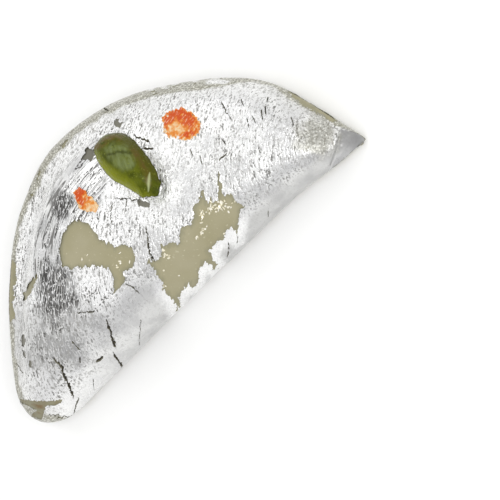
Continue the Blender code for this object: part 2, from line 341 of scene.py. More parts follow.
def outline_distance(px, outline):
    """Distance from each pixel to a closed outline, negative inside it."""
    closed = list(outline) + [outline[0]]
    inside = np.zeros(len(px), bool)
    x, y = px.T
    for (ax, ay), (bx, by) in zip(closed, closed[1:]):
        if ay != by:
            crossed = (ay > y) != (by > y)
            inside ^= crossed & (x < (bx - ax) * (y - ay) / (by - ay) + ax)
    gap, _ = line_distance(px, closed)
    return np.where(inside, -gap, gap)


# ---------------------------------------------------------------- surfaces as arrays

def arrays_of(mesh):
    """Points in millimetres and triangles of a mesh in metres."""
    points = np.empty(len(mesh.vertices) * 3)
    mesh.vertices.foreach_get("co", points)
    mesh.calc_loop_triangles()
    faces = np.empty(len(mesh.loop_triangles) * 3, np.int64)
    mesh.loop_triangles.foreach_get("vertices", faces)
    return points.reshape(-1, 3) / MM, faces.reshape(-1, 3)


def edge_table(faces):
    """Each edge of the triangles once, and the numbers of the three edges of each triangle."""
    pairs = np.sort(np.concatenate([faces[:, [0, 1]], faces[:, [1, 2]], faces[:, [2, 0]]]), axis=1)
    count = int(faces.max()) + 1
    keys, index = np.unique(pairs[:, 0] * count + pairs[:, 1], return_inverse=True)
    return np.column_stack([keys // count, keys % count]), index.reshape(3, -1).T


def normals_of(points, faces):
    """A surface's smooth normal at each of its points."""
    a, b, c = (points[faces[:, k]] for k in range(3))
    across = np.cross(b - a, c - a)
    total = np.zeros_like(points)
    for k in range(3):
        np.add.at(total, faces[:, k], across)
    return total / np.maximum(np.linalg.norm(total, axis=1, keepdims=True), 1e-12)


def relaxed(points, faces, strength, rounds):
    """Each point moved towards the mean of its neighbours, by its own strength."""
    edges, _ = edge_table(faces)
    ends = np.concatenate([edges, edges[:, ::-1]])
    count = np.bincount(ends[:, 0], minlength=len(points))[:, None]
    for _ in range(rounds):
        total = [np.bincount(ends[:, 0], points[ends[:, 1], k], len(points)) for k in range(3)]
        points = points + strength[:, None] * (np.column_stack(total) / count - points)
    return points


def even_mesh(node, spacing):
    """A CAD node's solid as one closed mesh of small even faces: points in millimetres and triangles."""
    body = bmesh.new()
    body.from_mesh(node.data)
    body.transform(Matrix.Scale(1 / MM, 4))
    bmesh.ops.remove_doubles(body, verts=body.verts, dist=0.002)
    mesh = bpy.data.meshes.new("even")
    body.to_mesh(mesh)
    body.free()
    holder = bpy.data.objects.new("even", mesh)
    bpy.context.scene.collection.objects.link(holder)
    remesh = holder.modifiers.new("even", "REMESH")
    remesh.mode = "VOXEL"
    remesh.voxel_size = spacing
    made = bpy.data.meshes.new_from_object(holder.evaluated_get(bpy.context.evaluated_depsgraph_get()))
    points, faces = arrays_of(made)
    bpy.data.objects.remove(holder)
    return points * MM, faces      # the mesh is in millimetres already, and arrays_of took it for metres


def rows_of(points, faces):
    """What is kept of each point of a surface: place, normal and distance to a torn line, positive inside."""
    return {"place": points, "normal": normals_of(points, faces), "edge": np.zeros(len(points))}


def only(rows, faces):
    """The rows that these triangles use, and the triangles with those rows' numbers."""
    used, faces = np.unique(faces, return_inverse=True)
    return {name: column[used] for name, column in rows.items()}, faces.reshape(-1, 3)


def bordering(rows, first, second, share):
    """The rows, and after them new ones on edges, each mixed from its edge's two ends by its share."""
    joined = {}
    for name, column in rows.items():
        mix = share.reshape((-1,) + (1,) * (column.ndim - 1))
        joined[name] = np.concatenate([column, column[first] + (column[second] - column[first]) * mix])
    return joined


def turned(faces, sides, first):
    """Triangles, and what is noted of their sides, turned so that the given side comes first."""
    pick = (np.arange(3)[None, :] + first[:, None]) % 3
    row = np.arange(len(faces))[:, None]
    return faces[row, pick], sides[row, pick]


def halved(rows, faces, reach, least=0.2):
    """Edges longer than least that come near the torn line, within reach times their length, split in two."""
    edges, sides = edge_table(faces)
    length = np.linalg.norm(rows["place"][edges[:, 0]] - rows["place"][edges[:, 1]], axis=1)
    split = (np.abs(rows["edge"][edges]).min(axis=1) < reach * length) & (length > least)
    first, second = edges[split].T
    number = np.full(len(edges), -1)
    number[split] = len(rows["edge"]) + np.arange(len(first))
    rows = bordering(rows, first, second, np.full(len(first), 0.5))
    middle = number[sides]
    count = (middle >= 0).sum(axis=1)
    done = [faces[count == 0]]
    one, mid = turned(faces[count == 1], middle[count == 1], np.argmax(middle[count == 1] >= 0, axis=1))
    done += [np.column_stack([one[:, 0], mid[:, 0], one[:, 2]]),
             np.column_stack([mid[:, 0], one[:, 1], one[:, 2]])]
    whole = (np.argmax(middle[count == 2] < 0, axis=1) + 1) % 3
    two, mid = turned(faces[count == 2], middle[count == 2], whole)
    done += [np.column_stack([mid[:, 0], two[:, 1], mid[:, 1]]),
             np.column_stack([two[:, 0], mid[:, 0], mid[:, 1]]),
             np.column_stack([two[:, 0], mid[:, 1], two[:, 2]])]
    all_three, mid = faces[count == 3], middle[count == 3]
    for k in range(3):
        done.append(np.column_stack([all_three[:, k], mid[:, k], mid[:, k - 1]]))
    done.append(mid)
    return rows, np.concatenate(done)


def without_scraps(points, faces):
    """The triangles, less those of loose scraps too small to see."""
    first, second = edge_table(faces)[0].T
    owner = np.arange(len(points))
    while (owner[first] != owner[second]).any():
        lowest = np.minimum(owner[first], owner[second])
        np.minimum.at(owner, owner[first], lowest)
        np.minimum.at(owner, owner[second], lowest)
        while (owner != owner[owner]).any():
            owner = owner[owner]
    a, b, c = (points[faces[:, k]] for k in range(3))
    owner = owner[faces[:, 0]]
    area = np.bincount(owner, np.linalg.norm(np.cross(b - a, c - a), axis=1) / 2)
    return faces[area[owner] >= SCRAP_AREA]


def clipped(rows, faces):
    """The part of the surface whose edge value is positive, cut along the line where it is 0."""
    value = rows["edge"]
    value = np.where(np.abs(value) < SLIVER, SLIVER, value)
    edges, sides = edge_table(faces)
    ends = value[edges]
    cut = (ends[:, 0] > 0) != (ends[:, 1] > 0)
    first, second = edges[cut].T
    number = np.full(len(edges), -1)
    number[cut] = len(value) + np.arange(len(first))
    share = value[first] / (value[first] - value[second])
    rows = bordering(rows, first, second, share)
    inside = value[faces] > 0
    count = inside.sum(axis=1)
    done = [faces[count == 3]]
    one, mid = turned(faces[count == 1], number[sides][count == 1], np.argmax(inside[count == 1], axis=1))
    done.append(np.column_stack([one[:, 0], mid[:, 0], mid[:, 2]]))
    after = (np.argmin(inside[count == 2], axis=1) + 1) % 3
    two, mid = turned(faces[count == 2], number[sides][count == 2], after)
    done += [np.column_stack([two[:, 0], two[:, 1], mid[:, 1]]),
             np.column_stack([two[:, 0], mid[:, 1], mid[:, 2]])]
    return only(rows, without_scraps(rows["place"], np.concatenate(done)))


def closed_film(outer, inner, faces):
    """A film between two copies of a surface, with its edges walled: points and faces."""
    count = len(outer)
    directed = np.concatenate([faces[:, [0, 1]], faces[:, [1, 2]], faces[:, [2, 0]]])
    keys = directed[:, 0] * count + directed[:, 1]
    lone = directed[~np.isin(keys, directed[:, 1] * count + directed[:, 0])]
    walls = np.column_stack([lone[:, 1], lone[:, 0], lone[:, 0] + count, lone[:, 1] + count])
    split = np.concatenate([walls[:, [0, 1, 2]], walls[:, [0, 2, 3]]])
    return np.vstack([outer, inner]), np.concatenate([faces, faces[:, ::-1] + count, split])


def inside_box(points):
    """Points kept inside the CAD model's box."""
    low, high = (np.array(corner) / MM for corner in CAD_BOX)
    return np.clip(points, low, high)


def mesh_piece(name, points, faces, material, columns=None, sharp=None):
    """An object at the origin from points in millimetres and triangles. Each column holds a number, or a
    vector, for every point."""
    mesh = bpy.data.meshes.new(name)
    mesh.vertices.add(len(points))
    mesh.vertices.foreach_set("co", (inside_box(points) * MM).astype(np.float32).ravel())
    mesh.loops.add(faces.size)
    mesh.loops.foreach_set("vertex_index", faces.astype(np.int32).ravel())
    mesh.polygons.add(len(faces))
    mesh.polygons.foreach_set("loop_start", np.arange(0, faces.size, 3, dtype=np.int32))
    mesh.update(calc_edges=True)
    mesh.validate()
    mesh.shade_smooth()
    if sharp:
        mesh.set_sharp_from_angle(angle=math.radians(sharp))
    for label, values in (columns or {}).items():
        kind, field = ("FLOAT", "value") if values.ndim == 1 else ("FLOAT_VECTOR", "vector")
        column = mesh.attributes.new(label, kind, "POINT")
        column.data.foreach_set(field, values.astype(np.float32).ravel())
    if material:
        mesh.materials.append(material)
    piece = bpy.data.objects.new(name, mesh)
    bpy.context.scene.collection.objects.link(piece)
    return piece


def hand_over(piece, slot, *nodes):
    """Give the piece to the frame's one body, and hide the nodes that it replaces. The slot is not used."""
    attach(piece, "root")
    if nodes:
        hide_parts(*nodes)


def need(name):
    """A piece that another one is made from."""
    piece = bpy.data.objects.get(name)
    if piece is None:
        raise RuntimeError(f"make {name} first")
    return piece


# ---------------------------------------------------------------- materials

def add_node(tree, kind, inputs=None, output=0, **settings):
    """Add a node and hand back one of its outputs, or all of them where output is None. Settings are the
    node's own properties, and inputs are its sockets, each with a value or with the socket that it reads."""
    node = tree.nodes.new(kind)
    for name, value in settings.items():
        setattr(node, name, value)
    for name, value in (inputs or {}).items():
        if isinstance(value, bpy.types.NodeSocket):
            tree.links.new(value, node.inputs[name])
        else:
            node.inputs[name].default_value = value
    return node.outputs if output is None else node.outputs[output]


def new_tree(holder):
    """The emptied node tree of a material or a world."""
    holder.use_nodes = True
    holder.node_tree.nodes.clear()
    return holder.node_tree


def pattern(tree, size, detail=2.0, roughness=0.5, turn=0.0, warp=0.0):
    """A noise whose lumps measure size, in millimetres along X, Y and Z once turned about Z."""
    place = add_node(tree, "ShaderNodeTexCoord", output="Object")
    spun = add_node(tree, "ShaderNodeMapping", {"Vector": place, "Rotation": (0.0, 0.0, math.radians(turn))})
    scaled = add_node(tree, "ShaderNodeMapping", {"Vector": spun, "Scale": [1 / (MM * s) for s in size]})
    return add_node(tree, "ShaderNodeTexNoise", {
        "Vector": scaled, "Scale": 1.0, "Detail": detail, "Roughness": roughness, "Distortion": warp})


def share_of(tree, *masks):
    """The product of masks: numbers, sockets, or a socket with the two values that count as 0 and 1."""
    total = None
    for mask in masks:
        if isinstance(mask, tuple):
            value, low, high = mask
            mask = add_node(tree, "ShaderNodeMapRange", {"Value": value, "From Min": low, "From Max": high})
        if total is None:
            total = mask
        else:
            total = add_node(tree, "ShaderNodeMath", {0: total, 1: mask}, operation="MULTIPLY")
    return total


def layered(tree, base, *layers):
    """Colours over one another, the lowest first. A layer is a colour and the masks that make its share."""
    for colour, *masks in layers:
        under, over = (linear(tone) if isinstance(tone, str) else tone for tone in (base, colour))
        mixed = {0: share_of(tree, *masks), 6: under, 7: over}
        base = add_node(tree, "ShaderNodeMix", mixed, 2, data_type="RGBA")
    return base


def cashew_dough_material():
    """Cooked cashew and sugar paste, rolled and rubbed with ghee: matt cream-olive with a faint grease sheen,
    fine ground-nut grain, and a darker brown patch at the blunt end. Grease and painted shade lie along the
    leaf's torn edges, and painted shade in the small bare places and in the clefts under the cracks."""
    material = bpy.data.materials.new("cashew_paste")
    tree = new_tree(material)
    dark_brown_patch, grease_and_edge_shade, small_place_shade, shaded_cleft = (
        add_node(tree, "ShaderNodeAttribute", output="Fac", attribute_name=name)
        for name in ("dark_brown_patch", "grease_and_edge_shade", "small_place_shade", "shaded_cleft"))
    # Ground cashew has grains of about 0.2 mm. They are drawn 0.5 mm coarse, which is three pixels.
    grain = pattern(tree, (0.5, 0.5, 0.5), detail=4.0)
    cloud = pattern(tree, (6.0, 6.0, 6.0))
    brown_mottle = pattern(tree, (1.1, 1.6, 1.1), detail=3.0)
    brown_patch_colour = layered(tree, "#858068", ("#705A36", (brown_mottle, 0.42, 0.58)))
    shader = add_node(tree, "ShaderNodeBsdfPrincipled", {
        # Over the dough's colour: random cloud and grain, the darker brown patch, grease with painted shade
        # along the tears, painted shade in the small bare places, and dark painted shade in the clefts.
        "Base Color": layered(
            tree, tuple(bpy.context.scene.gujiya.dough.colour), ("#9D977C", (cloud, 0.35, 0.65)),
            ("#C6C1A8", (grain, 0.64, 0.78)), (brown_patch_colour, dark_brown_patch), ("#86836B", grease_and_edge_shade), ("#706E63", small_place_shade),
            ("#38332A", shaded_cleft)),
        "Roughness": add_node(tree, "ShaderNodeMapRange", {
            "Value": grain, "From Min": 0.3, "From Max": 0.7, "To Min": 0.5, "To Max": 0.66}),
        "Normal": add_node(tree, "ShaderNodeBump", {"Height": grain, "Distance": 0.03 * MM}),
        "Specular IOR Level": 0.35, "IOR": 1.46})
    add_node(tree, "ShaderNodeOutputMaterial", {"Surface": shader}, None)
    return material


def silver_leaf_material():
    """Beaten silver leaf laid on by breath and brush: shiny, satin, crazed with tiny creases that run one
    way, drawn into long folds beside the kernel, and rubbed thin and grey where it was handled. Painted shade
    lies in the valleys of its creases and folds and in broad places, and painted light in others."""
    found = bpy.data.materials.get("beaten_silver_leaf")
    if found:
        return found
    material = bpy.data.materials.new("beaten_silver_leaf")
    tree = new_tree(material)
    crisp, worn, creased, dull_shade, painted_light = (
        add_node(tree, "ShaderNodeAttribute", output="Fac", attribute_name=name)
        for name in ("crisp", "worn", "creased", "dull_shade", "painted_light"))
    flat = (creased, 1.0, 0.0)
    # The leaf's creases are about 0.1 mm wide. They are drawn 0.3 to 0.5 mm coarse, two or three pixels.
    dashes = pattern(tree, (1.0, 0.32, 0.7), roughness=0.6, turn=CAMERA_TURN - 90.0, warp=0.5)
    smears = pattern(tree, (1.6, 0.55, 1.0), roughness=0.6, turn=CAMERA_TURN - 90.0, warp=0.3)
    threads = pattern(tree, (1.3, 0.42, 0.9), detail=1.0, turn=CAMERA_TURN - 90.0, warp=0.4)
    crumple = pattern(tree, (0.34, 0.34, 0.34), roughness=0.6)
    cloud = pattern(tree, (3.5, 3.5, 3.5))
    # The long folds beside the kernel are about 0.6 mm wide and 8 mm long.
    along_rim = add_node(tree, "ShaderNodeAttribute", output="Vector", attribute_name="along_rim")
    drawn = add_node(tree, "ShaderNodeMapping", {"Vector": along_rim, "Scale": (1 / 0.62, 1 / 8.0, 1.0)})
    folds = add_node(tree, "ShaderNodeTexNoise", {
        "Vector": drawn, "Scale": 1.0, "Detail": 1.5, "Roughness": 0.6, "Distortion": 0.6})
    lines = add_node(tree, "ShaderNodeMix", {0: creased, 2: dashes, 3: folds})
    fine = add_node(tree, "ShaderNodeMix", {0: 0.4, 2: lines, 3: crumple})
    # The crests of the threads are kept out of the painted shade, and stay light as painted glints.
    crest = share_of(tree, (threads, 0.445, 0.47), (threads, 0.555, 0.53), (crisp, 0.2, 0.8))
    # Over the silver: random lighter clouds, painted light, broad painted shade, painted shade in the valleys
    # of the fine creases and smears, and painted shade along the long folds.
    silver = layered(
        tree, tuple(bpy.context.scene.gujiya.leaf.colour),
        ("#EDEDEC", (cloud, 0.38, 0.60)), ("#FAFAFA", painted_light, flat),
        ("#525150", dull_shade, (crest, 1.11, 0.0)),
        ("#B0AFAC", 0.7, crisp, flat, (fine, 0.50, 0.40)),
        ("#92918E", 0.5, crisp, flat, (smears, 0.40, 0.34), (painted_light, 1.3, 0.0)),
        ("#6F6E6B", 0.75, crisp, flat, (fine, 0.47, 0.41), (cloud, 0.42, 0.56)),
        ("#7C7B79", creased, (folds, 0.44, 0.41), (cloud, 0.45, 0.55)),
        ("#4E4D4B", creased, (folds, 0.505, 0.525), (folds, 0.60, 0.57), (crumple, 0.40, 0.50)))
    rubbed = layered(tree, "#8D8B7D", ("#DAD9CE", (crumple, 0.53, 0.62)))
    satin = add_node(tree, "ShaderNodeMapRange", {
        "Value": crumple, "From Min": 0.3, "From Max": 0.7, "To Min": 0.22, "To Max": 0.36})
    relief = add_node(tree, "ShaderNodeMapRange", {"Value": crisp, "To Min": 0.12, "To Max": 1.0})
    shader = add_node(tree, "ShaderNodeBsdfPrincipled", {
        "Base Color": layered(tree, silver, (rubbed, worn)),
        "Metallic": add_node(tree, "ShaderNodeMapRange", {"Value": worn, "To Min": 1.0, "To Max": 0.2}),
        "Roughness": add_node(tree, "ShaderNodeMath", {0: dull_shade, 1: 0.15, 2: satin}, operation="MULTIPLY_ADD"),
        "Normal": add_node(tree, "ShaderNodeBump", {
            "Height": share_of(tree, fine, relief), "Distance": 0.24 * MM})})
    add_node(tree, "ShaderNodeOutputMaterial", {"Surface": shader}, None)
    return material


def loose_leaf_material():
    """Crumbs of leaf that rolled up and took on grease: cream-white, half their shine gone."""
    material = bpy.data.materials.new("loose_silver_leaf")
    tree = new_tree(material)
    tint = pattern(tree, (0.5, 0.5, 0.5), detail=1.0)
    shader = add_node(tree, "ShaderNodeBsdfPrincipled", {
        "Base Color": layered(tree, "#DCD5BA", ("#EFEBDE", (tint, 0.4, 0.6))),
        "Metallic": 0.35, "Roughness": 0.4})
    add_node(tree, "ShaderNodeOutputMaterial", {"Surface": shader}, None)
    return material


def pistachio_material():
    """Peeled half pistachio kernel, moist from the paste: green flesh, lime at the lower side, olive and
    brown skin at the upper one, a painted pale sheen on the crown, painted shade in its crease, a painted
    glint on the ridge by the foot, and a soft gloss."""
    material = bpy.data.materials.new("pistachio_flesh")
    tree = new_tree(material)
    across, crease, streak, painted_sheen, skin, glint = (
        add_node(tree, "ShaderNodeAttribute", output="Fac", attribute_name=name)
        for name in ("across", "crease", "streak", "painted_sheen", "skin", "glint"))
    streaks = pattern(tree, (0.45, 2.2, 0.45), detail=3.0, turn=16.0)
    mottle = pattern(tree, (1.3, 1.3, 1.3), detail=3.0)
    # The pores of the flesh are under 0.1 mm. They are drawn 0.35 mm coarse, which is two pixels.
    fine = pattern(tree, (0.35, 0.35, 0.35))
    gloss = add_node(tree, "ShaderNodeMapRange", {
        "Value": mottle, "From Min": 0.3, "From Max": 0.7, "To Min": 0.18, "To Max": 0.34})
    matt = share_of(tree, (across, 0.5, 0.9))
    relief = add_node(tree, "ShaderNodeMath", {0: fine, 1: 0.4, 2: streaks}, operation="MULTIPLY_ADD")
    shader = add_node(tree, "ShaderNodeBsdfPrincipled", {
        "Base Color": layered(
            tree, tuple(bpy.context.scene.gujiya.kernel.colour), ("#555C0A", (mottle, 0.38, 0.62)),
            ("#868C10", (across, 0.15, 0.7)), ("#8E9412", (across, 0.6, 0.9)),
            ("#4A4A0C", (across, -0.4, -0.85)), ("#574A14", skin, (mottle, 0.35, 0.55)),
            # A painted pale sheen on the crown.
            ("#6C7648", painted_sheen, (streaks, 0.2, 0.68)), ("#57481A", streak, (streaks, 0.3, 0.6)),
            # Painted shade in the crease.
            ("#33380A", 0.8, crease), ("#7C8434", (fine, 0.64, 0.78)), ("#B4BC8C", 0.7, glint)),
        "Roughness": add_node(tree, "ShaderNodeMath", {0: matt, 1: 0.35, 2: gloss}, operation="MULTIPLY_ADD"),
        "Normal": add_node(tree, "ShaderNodeBump", {"Height": relief, "Distance": 0.07 * MM}),
        "Specular IOR Level": 0.12, "IOR": 1.47})
    add_node(tree, "ShaderNodeOutputMaterial", {"Surface": shader}, None)
    return material


def saffron_material():
    """Saffron steeped in syrup, dabbed on with a fingertip: deep orange where it pooled, yellow where it is
    thin, with a wet gloss."""
    material = bpy.data.materials.new("saffron_syrup")
    tree = new_tree(material)
    deep = add_node(tree, "ShaderNodeAttribute", output="Fac", attribute_name="deep")
    # Ground saffron has grains of about 0.1 mm. They are drawn 0.45 mm coarse, which is three pixels.
    speckle = pattern(tree, (0.45, 0.45, 0.45), detail=3.0)
    fibres = pattern(tree, (0.7, 0.24, 0.4), detail=3.0, turn=CAMERA_TURN - 60.0)
    amount = add_node(tree, "ShaderNodeMath", {0: deep, 1: speckle}, operation="ADD")
    shader = add_node(tree, "ShaderNodeBsdfPrincipled", {
        "Base Color": layered(
            tree, "#DCC096", ("#D28434", (amount, 0.42, 0.75)),
            (tuple(bpy.context.scene.gujiya.saffron.colour), (amount, 0.8, 1.25)),
            ("#EEDCBC", 0.55, (fibres, 0.56, 0.70))),
        "Roughness": add_node(tree, "ShaderNodeMapRange", {
            "Value": speckle, "From Min": 0.3, "From Max": 0.7, "To Min": 0.25, "To Max": 0.45}),
        "Normal": add_node(tree, "ShaderNodeBump", {"Height": speckle, "Distance": 0.04 * MM}),
        "Specular IOR Level": 0.3, "IOR": 1.4})
    add_node(tree, "ShaderNodeOutputMaterial", {"Surface": shader}, None)
    return material


# ---------------------------------------------------------------- pieces

class DoughSettings(bpy.types.PropertyGroup):
    """The dough's fine surface."""
    spacing: FloatProperty(
        name="Spacing", description="Size of the dough's faces", default=0.38 * MM, unit="LENGTH",
        precision=5)
    inset: FloatProperty(
        name="Inset", description="How far the dough lies inside the solid, to leave room for the leaf",
        default=0.12 * MM, unit="LENGTH", precision=5)
    unevenness: FloatProperty(
        name="Unevenness", description="Height of the hand-made lumps", default=0.16 * MM, unit="LENGTH",
        precision=5)
    colour: FloatVectorProperty(
        name="Colour", description="Colour of the dough", subtype="COLOR", size=4, min=0.0, max=1.0,
        default=linear("#958F71"))


class KernelSettings(bpy.types.PropertyGroup):
    """The half kernel of pistachio."""
    colour: FloatVectorProperty(
        name="Colour", description="Deepest green of the kernel", subtype="COLOR", size=4, min=0.0, max=1.0,
        default=linear("#3E4505"))


class LeafSettings(bpy.types.PropertyGroup):
    """The silver leaf."""
    thickness: FloatProperty(
        name="Thickness", description="Thickness of the leaf, far more than real so that a torn edge shows",
        default=0.05 * MM, unit="LENGTH", precision=5)
    crease: FloatProperty(
        name="Crease", description="Height of the creases", default=0.09 * MM, unit="LENGTH", precision=5)
    curl: FloatProperty(
        name="Curl", description="How far torn edges lift", default=0.12 * MM, unit="LENGTH", precision=5)
    colour: FloatVectorProperty(
        name="Colour", description="Colour of the silver", subtype="COLOR", size=4, min=0.0, max=1.0,
        default=linear("#D9D9D9"))


class SaffronSettings(bpy.types.PropertyGroup):
    """The two saffron dabs."""
    colour: FloatVectorProperty(
        name="Colour", description="Colour of the saffron where it pooled", subtype="COLOR", size=4, min=0.0,
        max=1.0, default=linear("#BE480C"))


class FleckSettings(bpy.types.PropertyGroup):
    """The loose flecks of leaf."""
    density: FloatProperty(
        name="Density", description="Flecks for each square metre where they lie thickest", default=1.9e7)
    size: FloatProperty(
        name="Size", description="Width of a fleck", default=0.42 * MM, unit="LENGTH", precision=5)
    seed: IntProperty(name="Seed", description="Changes where the flecks fall", default=4)


class StageSettings(bpy.types.PropertyGroup):
    """The floor and the lights."""
    floor_size: FloatProperty(
        name="Floor size", description="Side of the square floor", default=1.6, unit="LENGTH")
    floor_colour: FloatVectorProperty(
        name="Floor colour", description="Colour of the floor", subtype="COLOR", size=4, min=0.0, max=1.0,
        default=linear("#F6F6F5"))
    key_power: FloatProperty(
        name="Key power", description="Power of the large soft light", default=0.98, unit="POWER")
    fill_power: FloatProperty(
        name="Fill power", description="Power of the light on the camera's side", default=2.6, unit="POWER")


class GujiyaSettings(bpy.types.PropertyGroup):
    """Everything that a user would change."""
    dough: PointerProperty(type=DoughSettings)
    kernel: PointerProperty(type=KernelSettings)
    leaf: PointerProperty(type=LeafSettings)
    saffron: PointerProperty(type=SaffronSettings)
    flecks: PointerProperty(type=FleckSettings)
    stage: PointerProperty(type=StageSettings)


def search_tree(numbers, places):
    """A tree that finds the nearest of these places and gives back its number."""
    tree = KDTree(len(numbers))
    for number, place in zip(numbers.tolist(), places.tolist()):
        tree.insert(place, number)
    tree.balance()
    return tree


def kernel_surface():
    """The kernel's points in millimetres and its triangles."""
    return arrays_of(need("pistachio_kernel").data)


def near_kernel(points, kernel, reach):
    """The numbers of the points that lie in the kernel's box or within reach of it."""
    low, high = kernel[0].min(axis=0) - reach, kernel[0].max(axis=0) + reach
    return np.flatnonzero(((points > low) & (points < high)).all(axis=1))


def kernel_distance(points, kernel, reach=3.0):
    """Distance to the kernel, or the reach where it is further."""
    tree = search_tree(np.arange(len(kernel[0])), kernel[0])
    gap = np.full(len(points), reach)
    for i in near_kernel(points, kernel, reach):
        gap[i] = min(reach, tree.find(points[i])[2])
    return gap


def raised_lip(points, normals, kernel):
    """Dough round the kernel brought up level with the lid, so that no groove is left beside the kernel."""
    gap = kernel_distance(points, kernel)
    nearest, furthest = LIP_RING
    ring = np.flatnonzero((gap > nearest) & (gap < furthest) & (normals[:, 2] > 0.6))
    tree = search_tree(ring, points[ring] * (1.0, 1.0, 0.0))
    moved = points.copy()
    for i in np.flatnonzero(gap < nearest):
        found = [k for _, k, _ in tree.find_n((points[i, 0], points[i, 1], 0.0), 12)]
        away = points[i, :2] - points[found, :2]
        level = (points[found, 2] - (away * normals[found, :2]).sum(axis=1) / normals[found, 2]).mean()
        below = level - points[i, 2]
        moved[i, 2] += max(below, 0.0) * float(ramp(below, 1.5, 0.5))
    return moved


def hugged(points, kernel, pull, reach):
    """Dough within reach of the kernel drawn up against it, by as much as pull where they meet."""
    tree = BVHTree.FromPolygons(kernel[0].tolist(), kernel[1].tolist())
    moved = points.copy()
    for i in near_kernel(points, kernel, reach):
        place, normal, _, gap = tree.find_nearest(Vector(points[i]), reach)
        if place is not None:
            outward = Vector(points[i]) - place
            signed = gap if outward.dot(normal) >= 0 else -gap
            away = outward / signed if gap > TOUCHING else normal
            kept = max(signed - pull * (1.0 - float(smooth(signed / reach))), KERNEL_CLEARANCE)
            moved[i] = place + away * kept
    return moved


class GUJIYA_OT_pistachio(bpy.types.Operator):
    """Make the half kernel of pistachio"""
    bl_idname = "gujiya.pistachio"
    bl_label = "Pistachio kernel"

    def execute(self, context):
        points, faces = even_mesh(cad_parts["pistachio"], KERNEL_SPACING)
        points = relaxed(points, faces, np.full(len(points), 0.5), rounds=4)
        centre = (points.min(axis=0) + points.max(axis=0)) / 2
        _, _, axes = np.linalg.svd(points - points.mean(axis=0), full_matrices=False)
        along = axes[0] * np.sign(axes[0][1])
        up = axes[2] * np.sign(axes[2][2])
        aside = np.cross(up, along)
        own_axes = np.column_stack([along, aside, up])
        local = (points - centre) @ own_axes
        local /= np.abs(local).max(axis=0)
        points = self.trimmed(points)
        normals = normals_of(points, faces)
        px = pixels_of(points)
        seen = ramp(toward_camera(normals), 0.0, 0.25)
        crown = ramp(normals @ up, 0.1, 0.6)
        ridges = noise_of(points @ own_axes, (5.0, 1.3, 2.0), 3)
        # Fine ridges run along the crown, with a dented crease and streak and one raised ridge by the foot.
        sink = 0.09 * (1 - np.abs(ridges)) ** 2 * crown + 0.05 * (1 + noise_of(points, 1.6, 4))
        wobble = noise_of(points, 2.2, 5)
        crease = near_line(px + 2.0 * wobble[:, None], KERNEL_CREASE, 1.6) * seen
        streak = near_line(px + 2.0 * wobble[:, None], KERNEL_STREAK, 3.0) * seen
        ridge = near_line(px, KERNEL_RIDGE, 2.4) * seen
        sink += 0.10 * crease + 0.06 * near_line(px, KERNEL_STREAK, 4.5) * seen - 0.05 * ridge
        points = points - normals * np.maximum(sink, 0.0)[:, None]
        edge = 3.0 * noise_of(points, 1.4, 6)
        gap, share = line_distance(px + 0.6 * wobble[:, None], KERNEL_RIDGE)
        # The crease's colour is painted shade, the glint is a painted highlight, and the pale patch on the
        # crown is a painted sheen.
        columns = {
            "across": 0.7 * local[:, 1] + 0.3 * (normals @ aside),
            "crease": crease,
            "streak": streak,
            "glint": seen * np.exp(-((gap / (0.3 + 1.3 * np.sin(np.pi * share))) ** 2)),
            "painted_sheen": seen * ramp(outline_distance(px, KERNEL_SHEEN) + edge, 3.0, -3.0),
            "skin": seen * ramp(outline_distance(px, KERNEL_SKIN) + edge, 2.5, -2.5)}
        piece = mesh_piece("pistachio_kernel", points, faces, pistachio_material(), columns)
        hand_over(piece, "pistachio_kernel", "pistachio")
        return {"FINISHED"}

    @staticmethod
    def trimmed(points):
        """The kernel drawn in, level, to the outline that the photograph shows."""
        shown = np.array(KERNEL_SHOWN + KERNEL_SHOWN[:1], float)
        middle = shown[:-1].mean(axis=0)
        ways = np.linspace(-np.pi, np.pi, 73)

        def reach_of(px):
            """The way from the middle to each pixel, and how far the pixels reach along each of the ways."""
            out = px - middle
            angle, far = np.arctan2(out[:, 1], out[:, 0]), np.linalg.norm(out, axis=1)
            aside = [np.abs((angle - way + np.pi) % (2 * np.pi) - np.pi) for way in ways]
            return angle, np.array([far[turn < TRACE_SPREAD].max() for turn in aside])

        steps = np.linspace(0.0, 1.0, 20)[None, :, None]
        traced = (shown[:-1, None] + (shown[1:, None] - shown[:-1, None]) * steps).reshape(-1, 2)
        px = pixels_of(points)
        _, wanted = reach_of(traced)
        angle, found = reach_of(px)
        share = np.interp(angle, ways, np.clip(wanted / found, 0.8, 1.0))
        move = (px - middle) * (share - 1.0)[:, None] / PX_PER_MM
        turn = math.radians(CAMERA_TURN)
        lean = np.array((math.cos(turn), -math.sin(turn), 0.0))
        level = move[:, :1] / math.cos(math.radians(CAMERA_TILT)) * lean
        return points + level - move[:, 1:] * np.array(camera_axes()[1])


